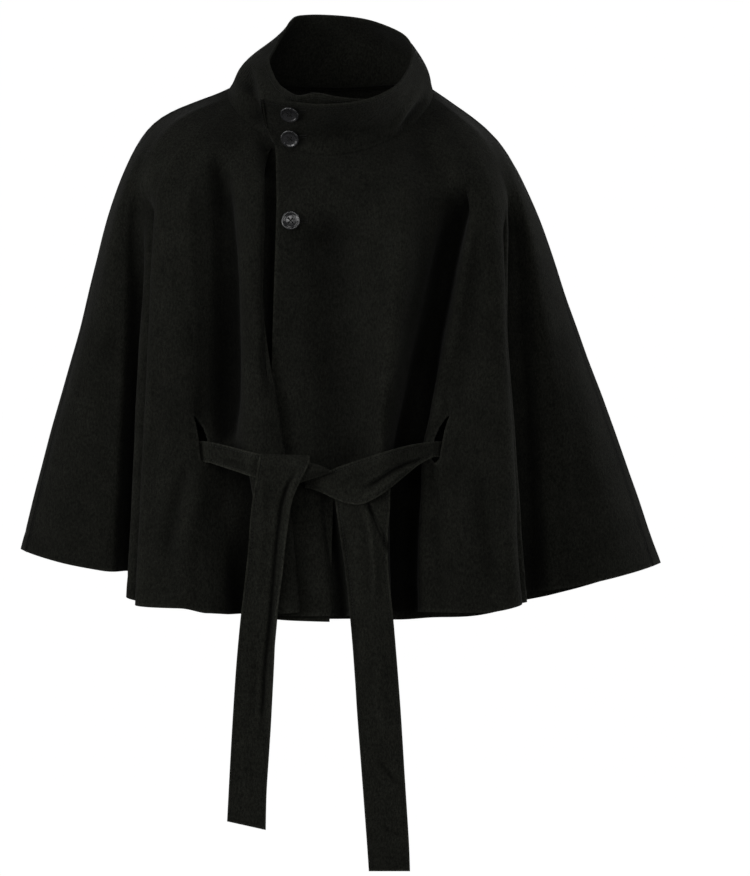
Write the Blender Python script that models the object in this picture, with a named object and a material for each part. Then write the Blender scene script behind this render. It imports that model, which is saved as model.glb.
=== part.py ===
"""Belted cape coat of thick wool, hollow, as it hangs when worn.

The coat is one wrapped sheet of cloth: it starts at the left front's free edge, runs round the left
arm, the back and the right arm, and ends under the left front at the right front's free edge. Lines
of cloth run from the collar's rim to the hem. Tables give the fold lines in millimetres, splines
join them, and the pieces are cut from that sheet along the seams. Left and right are the wearer's.
X points to the wearer's left, -Y to the front and +Z up. The origin is the middle of the neck.
"""

import math

import bpy
from mathutils import Vector
from mathutils.bvhtree import BVHTree

MILLIMETRE = 0.001

# Driving sizes, in millimetres.
CLOTH = 2.6  # thickness of the coat's cloth
BELT_CLOTH = 2.4  # thickness of the belt, two layers pressed flat
SEAM_GAP = 0.3  # between two pieces that are sewn together
REST_GAP = 0.4  # between a piece and the cloth that it lies on
COLUMN_STEP = 21.0  # widest spacing of the cloth's lines at the hem

# The neck seam is an oval ring that rises from the front to the back.
NECK_MIDDLE = (-6.5, -14.0)
NECK_HALF_WIDTH = 122.0
NECK_HALF_DEPTH = 94.0
NECK_SIDE_HEIGHT = 10.0
NECK_TILT = 49.0
NECK_DIP = 32.0
NECK_LAP = 3.5  # how far the two fronts' necks part, one outwards and one inwards
LEFT_LAP_TURNS = (20.0, 60.0)  # turns between which the left front's neck returns to the ring
RIGHT_LAP_TURNS = (280.0, 320.0)  # turns between which the right front's neck leaves the ring

# Heights of the two level rings of the body.
CHEST = -266.0
WAIST = -400.0

# Belt slits, as places between the rings: 3 is the chest, 4 the waist and 5 the hem.
SLIT_TOP = 3.87
SLIT_BOTTOM = 4.19
BODY_ROWS = (0, 0.5, 1, 1.5, 2, 2.33, 2.67, 3, 3.3, 3.6, SLIT_TOP, 4.02, SLIT_BOTTOM, 4.38, 4.6, 4.8, 5)
COLLAR_ROWS = (0, 0.5, 1, 1.5)
NECK_ROW = len(COLLAR_ROWS)

# The collar from the left front's end round the neck to the right front's end.
# turn round the neck in degrees, middle of the height (x, y, z), rim (x, y, z)
COLLAR_SECTIONS = (
    (-30.5, (-80, -111, -40), (-85, -141, -8)),
    (-15, (-43, -117, -45), (-44, -147, -14)),
    (0, (-2, -119, -46), (-5, -149, -16)),
    (18, (39, -114, -39), (37, -143, -10)),
    (38, (76, -93, -21), (68, -122, 6)),
    (60, (100, -60, 1), (85, -88, 29)),
    (85, (111, -22, 30), (92, -48, 56)),
    (112, (99, 25, 56), (80, -2, 83)),
    (138, (68, 55, 71), (45, 30, 102)),
    (165, (26, 68, 77), (6, 44, 111)),
    (190, (-26, 65, 76), (-36, 42, 112)),
    (208, (-66, 48, 70), (-50, 33, 108)),
    (228, (-98, 24, 60), (-64, 8, 85)),
    (250, (-113, -12, 42), (-74, -24, 62)),
    (270, (-114, -42, 24), (-79, -50, 46)),
    (284, (-108, -66, 8), (-74, -72, 29)),
    (297, (-92, -84, -10), (-67, -91, 15)),
    (310, (-80, -95, -26), (-57, -108, 5)),
    (322, (-67, -103, -36), (-43, -125, -3)),
    (336, (-41, -108, -41), (-22, -134, -1)),
    (350, (-12, -109, -42), (6, -139, -7)),
    (366, (15, -107, -41), (36, -136, -9)),
)

# Fold lines of the fronts, each from the neck to the hem.
# name, turn at the neck, crown, shoulder (x, y, z), chest (x, y), waist (x, y), hem (x, y, z)
LEFT_FRONT_LINES = (
    ("edge", -30.5, 2, (-68, -130, -126), (-72, -137), (-75, -137), (-73, -137.5, -613)),
    ("inner", -16, 3, (-35, -133, -127), (-37, -139), (-37, -138), (-37, -138.5, -613)),
    ("centre", 0, 4, (0, -131, -127), (0, -136.5), (6, -136), (4, -137, -613)),
    ("soft", 19, 4, (43, -134, -127), (36, -142), (32, -141), (34, -143, -612)),
    ("lip", 36, 5, (88, -134, -126), (70, -147), (56, -148), (59, -150, -609)),
    ("valley", 51, 6, (136, -111, -124), (107, -103), (82, -99), (71, -102, -610)),
    ("rise", 59, 7, (156, -118, -122), (137, -112), (103, -114), (103, -123, -609)),
    ("slit_in", 65, 9, (168, -114, -120), (155, -112), (123, -117), (124, -128, -609)),
    ("slit_out", 69, 10, (175, -111, -119), (163, -113), (131, -123), (136, -131, -609)),
    ("mid", 73, 12, (187, -105, -118), (180, -117), (168, -129), (188, -134, -608)),
    ("side", 79, 15, (198, -92, -116), (200, -112), (208, -120), (223, -122, -599)),
    ("behind", 84, 17, (203, -77, -112), (201, -67), (204, -62), (213, -60, -591)),
)
RIGHT_FRONT_LINES = (
    ("behind", 276, 26, (-234, -77, -112), (-237, -66), (-236, -58), (-241, -50, -567)),
    ("side", 281, 22, (-224, -94, -116), (-225, -112), (-231, -118), (-241, -118, -599)),
    ("mid", 290, 16, (-203, -113, -120), (-182, -129), (-172, -134), (-172, -138, -605)),
    ("slit_out", 298, 12, (-177, -119, -122), (-166, -128), (-161, -131), (-156, -135, -609)),
    ("slit_in", 302, 11, (-166, -119, -123), (-157, -126), (-153, -125), (-146, -133, -610)),
    ("valley", 308, 8, (-134, -116, -125), (-130, -118), (-128, -117), (-116, -119, -612)),
    ("shelf", 315, 7, (-116, -123, -126), (-112, -135), (-101, -147), (-86, -147.5, -610)),
    ("crest", 319, 6, (-103, -127, -126), (-97, -145), (-77, -151.5), (-57, -152, -609)),
    ("turn_out", 324, 4, (-83, -128, -126), (-83, -144), (-62, -148), (-41, -148, -608)),
    ("return", 325.5, 4, (-80, -121, -126), (-87, -139), (-70, -144), (-49, -144, -609)),
    ("tuck", 327, 3, (-78, -118, -126), (-91, -134.5), (-88, -142), (-72, -142, -612)),
    ("turn_in", 328.5, 3, (-75, -117, -126), (-90, -130.5), (-95, -137), (-79, -137.5, -614)),
    ("under", 330.5, 3, (-70, -117, -126), (-82, -129), (-87, -132), (-69, -132.5, -617)),
    ("lap", 344, 3, (-44, -120, -126), (-42, -130), (-41, -130), (-41, -131, -619)),
    ("edge", 366, 3, (-5, -122, -126), (-1, -130), (0, -130), (-6, -131, -620)),
)

# The arms' outer edges, as single fold lines with the same columns.
LEFT_ARM_EDGE = ("edge", 97, 18, (234, 6, -114), (288, 6), (338, 6), (392, 6, -556))
RIGHT_ARM_EDGE = ("edge", 263, 33, (-267, 6, -114), (-307, 6), (-345, 6), (-381, 6, -539))
# Lines between the body and an arm's outer edge: share of the way out, share of the depth.
ARM_PROFILE = ((0.22, 0.97), (0.55, 0.92), (0.82, 0.62), (0.94, 0.33))

# The back between the arms: flutes from the wearer's left to the right.
# name, turn at the neck, crown, shoulder, chest, waist and hem as in the fronts' tables
LEFT_BACK_BEHIND = ("behind", 117, 19, (199, 77, -104), (205, 72), (207, 68), (216, 66, -607))
LEFT_BACK_SIDE = ("side", 122, 18, (190, 89, -104), (198, 108), (200, 111), (212, 116, -617))
RIGHT_BACK_SIDE = ("side", 238, 20, (-208, 88, -104), (-222, 106), (-228, 110), (-240, 114, -600))
RIGHT_BACK_BEHIND = ("behind", 243, 23, (-222, 76, -104), (-233, 72), (-238, 67), (-246, 64, -565))
BACK_FLUTES = 10  # crests and valleys between the two side lines
BACK_CROWN = 10.0
BACK_BOW = (22.0, 12.0, 10.0, 12.0)  # how far the middle stands behind the side lines, by ring
BACK_ROUNDNESS = 0.6  # power of the sine that the bow follows from side to side, 1 for a plain arch
BACK_DROP = (-10.0, 0.0, 0.0, 21.0)  # how far the middle hangs below the mean of the side lines
FLUTE_DEPTH = (0.6, 4.0, 6.0, 9.0)  # half the height of a flute, by ring
FLUTE_SHIFT = (0, 4, -5, 6, 3, -6, 4, -3, 6, -4, 0)  # sideways unevenness of the flutes

# Edges of the belt slits: place down the body, outer and inner edge's x at each side.
# place, left slit (outer, inner), right slit (outer, inner)
SLIT_EDGES = (
    (SLIT_TOP, (134, 131.5), (-165, -162.5)),
    (4.02, (127.5, 118), (-160, -150)),
    (SLIT_BOTTOM, (121, 113), (-156, -148)),
)
SLIT_REACH = 34.0  # how far the cloth beside a slit is drawn along
ARM_HEM_SAG = 5.0  # how far the arms' hems sag between their ends

# The belt's outer stretches, each a row of cross-sections from edge to edge.
# first edge (x, depth out of the coat, z), second edge (x, depth out, z)
RIGHT_STRETCH = (
    ((-147, 3, -409), (-145, 3, -434)),
    ((-128, 1, -413), (-126, 1, -440)),
    ((-108, 0, -418), (-110, 0, -445)),
    ((-88, 0, -423), (-94, 0, -450)),
    ((-66, 0, -428), (-70, 0, -453)),
    ((-48, 11, -432), (-50, 11, -455)),
)
LEFT_STRETCH = (
    ((116, 3, -409), (115, 3, -427)),
    ((99, 3, -411), (98, 3, -436)),
    ((79, 6, -415), (78, 6, -452)),
    ((57, 8, -421), (55, 8, -470)),
    ((32, 11.5, -429), (30, 12, -482)),
    ((8, 17, -437), (6, 17.5, -478)),
    ((-14, 14, -446), (-16, 15, -468)),
    ((-34, 8, -453), (-35, 8.5, -462)),
)
RIGHT_TAIL = (
    ((-84, 4, -446), (-33, 4, -443)),
    ((-85, 5.5, -431), (-31, 5.5, -432)),
    ((-86, 9.5, -424), (-29, 9.5, -426)),
    ((-88, 13.5, -432), (-29, 13, -433)),
    ((-91, 14, -452), (-37, 14, -450)),
    ((-95, 11, -476), (-48, 12, -475)),
    ((-98, 6, -502), (-53, 7, -502)),
    ((-100, 2, -530), (-57, 2.5, -532)),
    ((-104, 0, -568), (-61, 0, -568)),
    ((-109, 0, -612), (-67, 0, -611)),
    ((-114, 0, -665), (-70, 0, -666)),
    ((-119, 0, -740), (-74, 0, -742)),
    ((-123, 0, -812), (-79, 0, -818)),
    ((-125, 0, -851), (-80, 0, -861)),
)
LEFT_TAIL = (
    ((-1, 0.4, -460), (64, 0.4, -458)),
    ((2, 0, -488), (65, 0, -482)),
    ((7, 0, -520), (62, 0, -518)),
    ((13, 0, -560), (63, 0, -560)),
    ((18, 0, -609), (68, 0, -609)),
    ((22, 0, -655), (72, 0, -655)),
    ((26, 0, -720), (77, 0, -720)),
    ((32, 0, -800), (82, 0, -800)),
    ((38, 0, -880), (87, 0, -880)),
    ((40, 0, -909), (88, 0, -909)),
)
RIBBON_ALONG = 2  # rows between two sections
BELT_END = 3.0  # straight end of the inner belt, in line with the outer stretch that it meets
RIBBON_ACROSS = 4
TAIL_FREE_DEPTH = -151.5  # y of the cloth that the tails would lie on below the hem
BELT_TOUCHES = 8  # steps across a belt section at which it is laid on the cloth
CLOTH_AROUND = 4.0  # how far round a point the belt keeps clear of the cloth
# Inside the coat the belt runs round the back, from the right slit to the left one.
# x, y, height of the middle, width
INNER_BELT = (
    (-156, -127, -421, 25),
    (-166, -116, -421, 27),
    (-180, -84, -421, 34),
    (-190, -36, -421, 44),
    (-184, 16, -421, 50),
    (-156, 62, -421, 50),
    (-102, 94, -421, 50),
    (-10, 101, -421, 50),
    (76, 95, -421, 50),
    (128, 66, -420, 50),
    (156, 18, -419, 50),
    (162, -36, -418, 44),
    (152, -82, -418, 30),
    (135, -108, -418, 21),
    (123, -119, -418, 18.5),
)

# Buttons: x and z on the left front, seen from the front.
BUTTON_PLACES = ((-52, -24), (-52, -51), (-51, -151))
BUTTON_RADIUS = 11.2
BUTTON_SIDES = 24
SHANK_RADIUS = 2.6
SHANK_LENGTH = 1.6
BUTTON_GAP = 0.75  # from the cloth's smooth face, which the flat facets under a button come nearer than
# The button's turned profile: radius, height above its back.
BUTTON_PROFILE = ((8.6, 0.0), (10.8, 0.9), (11.2, 2.1), (10.5, 3.3), (9.0, 3.5), (7.9, 2.6), (3.4, 2.3))

BEFORE_COAT = -1.0  # y in metres from which the coat's outer face is looked for
SHORTEST_KNOT = 1e-6  # least step between two knots of a spline
SHARP_ANGLE = 50.0  # degrees from which an edge is shaded sharp

# Colours (linear), roughness.
WOOL = ((0.009, 0.0085, 0.009), 0.9)
BELT_WOOL = ((0.011, 0.0105, 0.011), 0.88)
BUTTON_HORN = ((0.03, 0.03, 0.032), 0.22)


def millimetres(values):
    """Return a point given in millimetres as a vector in metres."""
    return Vector(values) * MILLIMETRE


def spline(points, place):
    """Return the point at a place on the smooth curve through the points; 1.5 lies after the second."""
    first = min(max(int(place), 0), len(points) - 2)
    share = place - first
    start, end = points[first], points[first + 1]
    before = points[first - 1] if first > 0 else start * 2 - end
    after = points[first + 2] if first + 2 < len(points) else end * 2 - start
    knots = [0.0]
    for one, other in ((before, start), (start, end), (end, after)):
        knots.append(knots[-1] + max(math.sqrt((other - one).length), SHORTEST_KNOT))
    at = knots[1] + (knots[2] - knots[1]) * share

    def blend(one, other, low, high):
        return one.lerp(other, (at - low) / (high - low))

    near = blend(before, start, knots[0], knots[1])
    middle = blend(start, end, knots[1], knots[2])
    far = blend(end, after, knots[2], knots[3])
    near = blend(near, middle, knots[0], knots[2])
    far = blend(middle, far, knots[1], knots[3])
    return blend(near, far, knots[1], knots[2])


def smooth_share(value, low, high):
    """Return 0 below low, 1 above high and a smooth share between them."""
    share = min(max((value - low) / (high - low), 0.0), 1.0)
    return share * share * (3 - 2 * share)


def neck_point(turn):
    """Return the neck seam's point at a turn in degrees, where 0 is the front and 90 the left side."""
    sine, cosine = math.sin(math.radians(turn)), math.cos(math.radians(turn))
    lap = NECK_LAP * (1 - smooth_share(turn, *LEFT_LAP_TURNS) - smooth_share(turn, *RIGHT_LAP_TURNS))
    x = NECK_MIDDLE[0] + (NECK_HALF_WIDTH + lap) * sine
    y = NECK_MIDDLE[1] - (NECK_HALF_DEPTH + lap) * cosine
    z = NECK_SIDE_HEIGHT - NECK_TILT * cosine - NECK_DIP * cosine * cosine
    return millimetres((x, y, z))


def collar_levels(turn):
    """Return the collar's rim, middle and foot at a turn."""
    turns = [section[0] for section in COLLAR_SECTIONS]
    index = 0
    while index < len(turns) - 2 and turns[index + 1] < turn:
        index += 1
    place = index + (turn - turns[index]) / (turns[index + 1] - turns[index])
    middles = [millimetres(section[1]) for section in COLLAR_SECTIONS]
    rims = [millimetres(section[2]) for section in COLLAR_SECTIONS]
    return [spline(rims, place), spline(middles, place), neck_point(turn)]


def crown_point(neck, top, crown):
    """Return the point between the neck and a shoulder point, raised by the crown square to the fall."""
    fall = top - neck
    level = Vector((fall.x, fall.y, 0))
    outward = (level.normalized() * -fall.z + Vector((0, 0, level.length))).normalized()
    return (neck + top) / 2 + outward * crown * MILLIMETRE


def body_levels(line):
    """Return a fold line's turn at the neck and its points at the neck, crown and four rings."""
    _, turn, crown, shoulder, chest, waist, hem = line
    neck = neck_point(turn)
    top = millimetres(shoulder)
    rings = [millimetres((*chest, CHEST)), millimetres((*waist, WAIST)), millimetres(hem)]
    return turn, [neck, crown_point(neck, top, crown), top, *rings]


def arm_levels(body_line, edge_line, from_body):
    """Return the lines between a body line and an arm's outer edge, in the sheet's order."""
    body_turn, body = body_levels(body_line)
    edge_turn, edge = body_levels(edge_line)
    lines = []
    for out, depth in ARM_PROFILE:
        levels = []
        for near, far in zip(body, edge):
            point = near.lerp(far, out)
            point.z -= ARM_HEM_SAG * MILLIMETRE * 4 * out * (1 - out)
            point.y = far.y + (near.y - far.y) * depth
            levels.append(point)
        levels[0] = neck_point(body_turn + (edge_turn - body_turn) * out)
        levels[1] = body[1].lerp(edge[1], out)
        lines.append((body_turn + (edge_turn - body_turn) * out, levels))
    return lines if from_body else lines[::-1]


def back_levels():
    """Return the flutes of the back, from the left side line to the right one."""
    left_turn, left = body_levels(LEFT_BACK_SIDE)
    right_turn, right = body_levels(RIGHT_BACK_SIDE)
    lines = []
    for flute in range(BACK_FLUTES + 1):
        share = flute / BACK_FLUTES
        bow = math.sin(math.pi * share) ** BACK_ROUNDNESS
        side = 1 if flute % 2 == 0 else -1
        edge = 0.0 if flute in (0, BACK_FLUTES) else 1.0
        turn = left_turn + (right_turn - left_turn) * share
        rings = []
        for ring, (stand, drop, depth) in enumerate(zip(BACK_BOW, BACK_DROP, FLUTE_DEPTH), 1):
            point = left[ring + 1].lerp(right[ring + 1], share)
            shift = FLUTE_SHIFT[flute] * ring / len(BACK_BOW)
            rings.append(point + millimetres((shift, stand * bow + depth * side * edge, -drop * bow)))
        neck = neck_point(turn)
        crown = BACK_CROWN + (left[1] - (left[0] + left[2]) / 2).length * (1 - bow)
        lines.append((turn, [neck, crown_point(neck, rings[0], crown), *rings]))
    return lines


def sheet_lines():
    """Return the coat's lines in order, and the places of the seams and slits among them."""
    lines, marks = [], {}
    for line in LEFT_FRONT_LINES:
        marks["left_" + line[0]] = len(lines)
        lines.append(body_levels(line))
    lines += arm_levels(LEFT_FRONT_LINES[-1], LEFT_ARM_EDGE, True)
    marks["left_seam"] = len(lines) - 1
    lines.append(body_levels(LEFT_ARM_EDGE))
    lines += arm_levels(LEFT_BACK_BEHIND, LEFT_ARM_EDGE, False)
    lines.append(body_levels(LEFT_BACK_BEHIND))
    lines += back_levels()
    lines.append(body_levels(RIGHT_BACK_BEHIND))
    lines += arm_levels(RIGHT_BACK_BEHIND, RIGHT_ARM_EDGE, True)
    lines.append(body_levels(RIGHT_ARM_EDGE))
    marks["right_seam"] = len(lines)
    lines += arm_levels(RIGHT_FRONT_LINES[0], RIGHT_ARM_EDGE, False)
    for line in RIGHT_FRONT_LINES:
        marks["right_" + line[0]] = len(lines)
        lines.append(body_levels(line))
    return lines, marks


def column_places(lines, marks):
    """Return the places of the cloth's columns between the fold lines."""
    folded = range(marks["right_crest"], marks["right_under"])
    places = []
    for index in range(len(lines) - 1):
        gap = (lines[index + 1][1][-1] - lines[index][1][-1]).length / MILLIMETRE
        steps = 2 if index in folded else math.ceil(gap / COLUMN_STEP)
        places += [index + step / steps for step in range(steps)]
    return places + [len(lines) - 1]


def coat_grid(lines, places):
    """Return the coat's cloth as rows of points, from the collar's rim down to the hem."""
    turns = [Vector((line[0], 0, 0)) for line in lines]
    rows = [[] for _ in range(NECK_ROW + len(BODY_ROWS))]
    for place in places:
        levels = collar_levels(spline(turns, place).x)
        for row, height in enumerate(COLLAR_ROWS):
            rows[row].append(spline(levels, height))
    for row, height in enumerate(BODY_ROWS):
        ring = [spline(levels, height) for _, levels in lines]
        for place in places:
            point = spline(ring, place)
            if height == 0:
                point = neck_point(spline(turns, place).x)
            rows[NECK_ROW + row].append(point)
    return rows


def open_slits(grid, places, marks):
    """Draw the cloth beside the belt slits to the slits' slanted edges."""
    for place, *sides in SLIT_EDGES:
        row = grid[NECK_ROW + BODY_ROWS.index(place)]
        for side, edges in zip(("left", "right"), sides):
            columns = [places.index(marks[f"{side}_slit_{edge}"]) for edge in ("out", "in")]
            pulls = [(row[c].x, x * MILLIMETRE - row[c].x) for c, x in zip(columns, edges)]
            outwards = 1 if side == "left" else -1
            for column, point in enumerate(row):
                out = (point.x - pulls[0][0]) * outwards
                inward = (pulls[1][0] - point.x) * outwards
                source = pulls[0] if out >= 0 else pulls[1]
                away = max(out, inward, 0) / (SLIT_REACH * MILLIMETRE)
                if away < 1 and point.y < NECK_MIDDLE[1] * MILLIMETRE:
                    point.x += source[1] * (1 - away)


def grid_normals(grid):
    """Return the outward unit normals of a grid of points."""
    normals = []
    for row in range(len(grid)):
        above, below = grid[max(row - 1, 0)], grid[min(row + 1, len(grid) - 1)]
        line = []
        for column in range(len(grid[row])):
            before = grid[row][max(column - 1, 0)]
            after = grid[row][min(column + 1, len(grid[row]) - 1)]
            line.append((below[column] - above[column]).cross(after - before).normalized())
        normals.append(line)
    return normals


def material(name, finish):
    """Return a material with a colour and a roughness."""
    made = bpy.data.materials.get(name)
    if made is None:
        made = bpy.data.materials.new(name)
        made.use_nodes = True
        shader = made.node_tree.nodes["Principled BSDF"]
        shader.inputs["Base Color"].default_value = (*finish[0], 1.0)
        shader.inputs["Roughness"].default_value = finish[1]
        shader.inputs["Metallic"].default_value = 0.0
    return made


def add_object(name, points, faces, finish):
    """Add a mesh object and return it."""
    mesh = bpy.data.meshes.new(name)
    mesh.from_pydata([tuple(point) for point in points], [], faces)
    mesh.validate()
    mesh.materials.append(finish)
    mesh.shade_smooth()
    mesh.set_sharp_from_angle(angle=math.radians(SHARP_ANGLE))
    made = bpy.data.objects.new(name, mesh)
    bpy.context.scene.collection.objects.link(made)
    return made


def add_wall(name, grid, normals, thickness, finish, cut=()):
    """Add a cloth wall on a grid of points; cut lists the cells left out, as (row, column)."""
    rows, columns = len(grid), len(grid[0])
    half = thickness * MILLIMETRE / 2
    cells = [(r, c) for r in range(rows - 1) for c in range(columns - 1) if (r, c) not in cut]
    index, points, faces, borders = {}, [], [], {}
    for r, c in cells:
        corners = ((r, c), (r + 1, c), (r + 1, c + 1), (r, c + 1))
        for corner in corners:
            if corner not in index:
                index[corner] = len(points)
                point, normal = grid[corner[0]][corner[1]], normals[corner[0]][corner[1]]
                points += [point + normal * half, point - normal * half]
        faces.append([index[corner] for corner in corners])
        faces.append([index[corner] + 1 for corner in reversed(corners)])
        for one, other in zip(corners, corners[1:] + corners[:1]):
            if (other, one) in borders:
                del borders[(other, one)]
            else:
                borders[(one, other)] = True
    for one, other in borders:
        # Both sides of a seam split their edge faces along the same diagonal.
        start, end = index[one], index[other]
        if one < other:
            faces += [(end, start, end + 1), (start, start + 1, end + 1)]
        else:
            faces += [(end, start, start + 1), (end, start + 1, end + 1)]
    return add_object(name, points, faces, finish)


def cut_piece(grid, normals, rows, columns, seams):
    """Return the part of the coat between rows and columns, drawn back by half a gap at its seams."""
    first_row, last_row = rows
    first, last = columns
    part = [[point.copy() for point in grid[r][first:last + 1]] for r in range(first_row, last_row + 1)]
    part_normals = [normals[r][first:last + 1] for r in range(first_row, last_row + 1)]
    back = SEAM_GAP * MILLIMETRE / 2
    for r in range(len(part)):
        if "first" in seams:
            part[r][0] += (part[r][1] - part[r][0]).normalized() * back
        if "last" in seams:
            part[r][-1] += (part[r][-2] - part[r][-1]).normalized() * back
    for c in range(len(part[0])):
        if "top" in seams:
            part[0][c] += (part[1][c] - part[0][c]).normalized() * back
        if "bottom" in seams:
            part[-1][c] += (part[-2][c] - part[-1][c]).normalized() * back
    return part, part_normals


def slit_cells(places, line):
    """Return the cells of a belt slit that starts at a fold line, within the body's rows."""
    column = min(range(len(places)), key=lambda c: abs(places[c] - line))
    top, bottom = BODY_ROWS.index(SLIT_TOP), BODY_ROWS.index(SLIT_BOTTOM)
    return [(row, column) for row in range(top, bottom)]


def make_coat():
    """Add the collar, both fronts and the back, and return the coat's grid and normals."""
    lines, marks = sheet_lines()
    places = column_places(lines, marks)
    grid = coat_grid(lines, places)
    open_slits(grid, places, marks)
    normals = grid_normals(grid)
    wool = material("black_wool", WOOL)
    last_row = len(grid) - 1
    left_seam, right_seam = places.index(marks["left_seam"]), places.index(marks["right_seam"])
    end = len(places) - 1

    collar, collar_normals = cut_piece(grid, normals, (0, NECK_ROW), (0, end), ("bottom",))
    add_wall("collar", collar, collar_normals, CLOTH, wool)

    pieces = (
        ("left_front", (0, left_seam), ("top", "last"), "left_slit_in"),
        ("back", (left_seam, right_seam), ("top", "first", "last"), None),
        ("right_front", (right_seam, end), ("top", "first"), "right_slit_out"),
    )
    for name, columns, seams, slit in pieces:
        piece, piece_normals = cut_piece(grid, normals, (NECK_ROW, last_row), columns, seams)
        cut = slit_cells(places, marks[slit]) if slit else ()
        cut = {(row, column - columns[0]) for row, column in cut}
        add_wall(name, piece, piece_normals, CLOTH, wool, cut)
    return grid, normals


def outer_face(grid, normals):
    """Return a search tree of the coat's outer face."""
    half = CLOTH * MILLIMETRE / 2
    columns = len(grid[0])
    points = [p + n * half for row, line in zip(grid, normals) for p, n in zip(row, line)]
    faces = []
    for r in range(len(grid) - 1):
        for c in range(columns - 1):
            here = r * columns + c
            faces.append((here, here + columns, here + columns + 1, here + 1))
    return BVHTree.FromPolygons(points, faces)


def front_depth(face, x, z):
    """Return the y of the coat's outer face at x and z, seen from the front, or the free tails' y."""
    hit = face.ray_cast(Vector((x, BEFORE_COAT, z)), Vector((0, 1, 0)))[0]
    if hit is None or hit.y > 0:
        return TAIL_FREE_DEPTH * MILLIMETRE
    return hit.y


def cloth_reach(face, point):
    """Return the y of the coat's outer face where it stands furthest out close to a point."""
    around = CLOTH_AROUND * MILLIMETRE
    steps = ((0, 0), (around, 0), (-around, 0), (0, around), (0, -around))
    return min(front_depth(face, point.x + x, point.z + z) for x, z in steps)


def pull_taut(edge):
    """Move the points of a belt edge outwards until it hangs in no valley of the cloth under it."""
    for place, point in enumerate(edge):
        for before in edge[:place]:
            for after in edge[place + 1:]:
                share = (point.x - before.x) / (after.x - before.x)
                point.y = min(point.y, before.y + (after.y - before.y) * share)


def ribbon_grid(face, sections, taut):
    """Return a belt stretch that lies on the coat, straight across its valleys where it is taut."""
    lead = (REST_GAP + BELT_CLOTH / 2) * MILLIMETRE
    firsts, seconds = [], []
    for section in sections:
        first, second = (millimetres((x, 0, z)) for x, _, z in section)
        shares = (step / BELT_TOUCHES for step in range(BELT_TOUCHES + 1))
        touch = min(cloth_reach(face, first.lerp(second, share)) for share in shares)
        for edge, point, source in ((firsts, first, section[0]), (seconds, second, section[1])):
            point.y = touch - lead - source[1] * MILLIMETRE
            edge.append(point)
    if taut:
        pull_taut(firsts)
        pull_taut(seconds)
    grid = []
    for step in range((len(sections) - 1) * RIBBON_ALONG + 1):
        start, end = (spline(edge, step / RIBBON_ALONG) for edge in (firsts, seconds))
        row = [start.lerp(end, share / RIBBON_ACROSS) for share in range(RIBBON_ACROSS + 1)]
        push = max(point.y - (cloth_reach(face, point) - lead) for point in row)
        if push > 0:
            row = [point - Vector((0, push, 0)) for point in row]
        grid.append(row)
    return grid


def inner_grid(right_stretch, left_stretch):
    """Return the belt inside the coat, which meets both outer stretches end to end at the slits."""
    centres = [millimetres((x, y, z)) for x, y, z, _ in INNER_BELT]
    halves = [Vector((0, 0, width / 2 * MILLIMETRE)) for *_, width in INNER_BELT]
    ends = []
    for stretch in (right_stretch, left_stretch):
        start, after = ((row[0] + row[-1]) / 2 for row in stretch[:2])
        away = (start - after).normalized() * MILLIMETRE
        half = (stretch[0][0] - stretch[0][-1]) / 2
        ends.append([(start + away * SEAM_GAP, half), (start + away * BELT_END, half)])
    path = ends[0] + list(zip(centres, halves)) + ends[1][::-1]
    centres, halves = [point for point, _ in path], [half for _, half in path]
    grid = []
    for step in range((len(path) - 1) * RIBBON_ALONG + 1):
        centre, half = (spline(line, step / RIBBON_ALONG) for line in (centres, halves))
        grid.append([centre + half, centre, centre - half])
    return grid


def make_belt(face):
    """Add the belt's stretches, its two tails and the stretch inside the coat."""
    wool = material("belt_wool", BELT_WOOL)
    grids = {
        "belt_right_stretch": ribbon_grid(face, RIGHT_STRETCH, True),
        "belt_left_stretch": ribbon_grid(face, LEFT_STRETCH, True),
        "belt_right_tail": ribbon_grid(face, RIGHT_TAIL, False),
        "belt_left_tail": ribbon_grid(face, LEFT_TAIL, False),
    }
    grids["belt_inner"] = inner_grid(grids["belt_right_stretch"], grids["belt_left_stretch"])
    for name, grid in grids.items():
        add_wall(name, grid, grid_normals(grid), BELT_CLOTH, wool)


def cloth_rise(face, centre, normal, side, up, radius):
    """Return how far the cloth stands out of its tangent plane on a ring round a point."""
    rise = 0.0
    for step in range(BUTTON_SIDES):
        angle = 2 * math.pi * step / BUTTON_SIDES
        point = centre + (side * math.cos(angle) + up * math.sin(angle)) * radius * MILLIMETRE
        cloth = Vector((point.x, front_depth(face, point.x, point.z), point.z))
        rise = max(rise, (cloth - centre).dot(normal))
    return rise / MILLIMETRE


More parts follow.
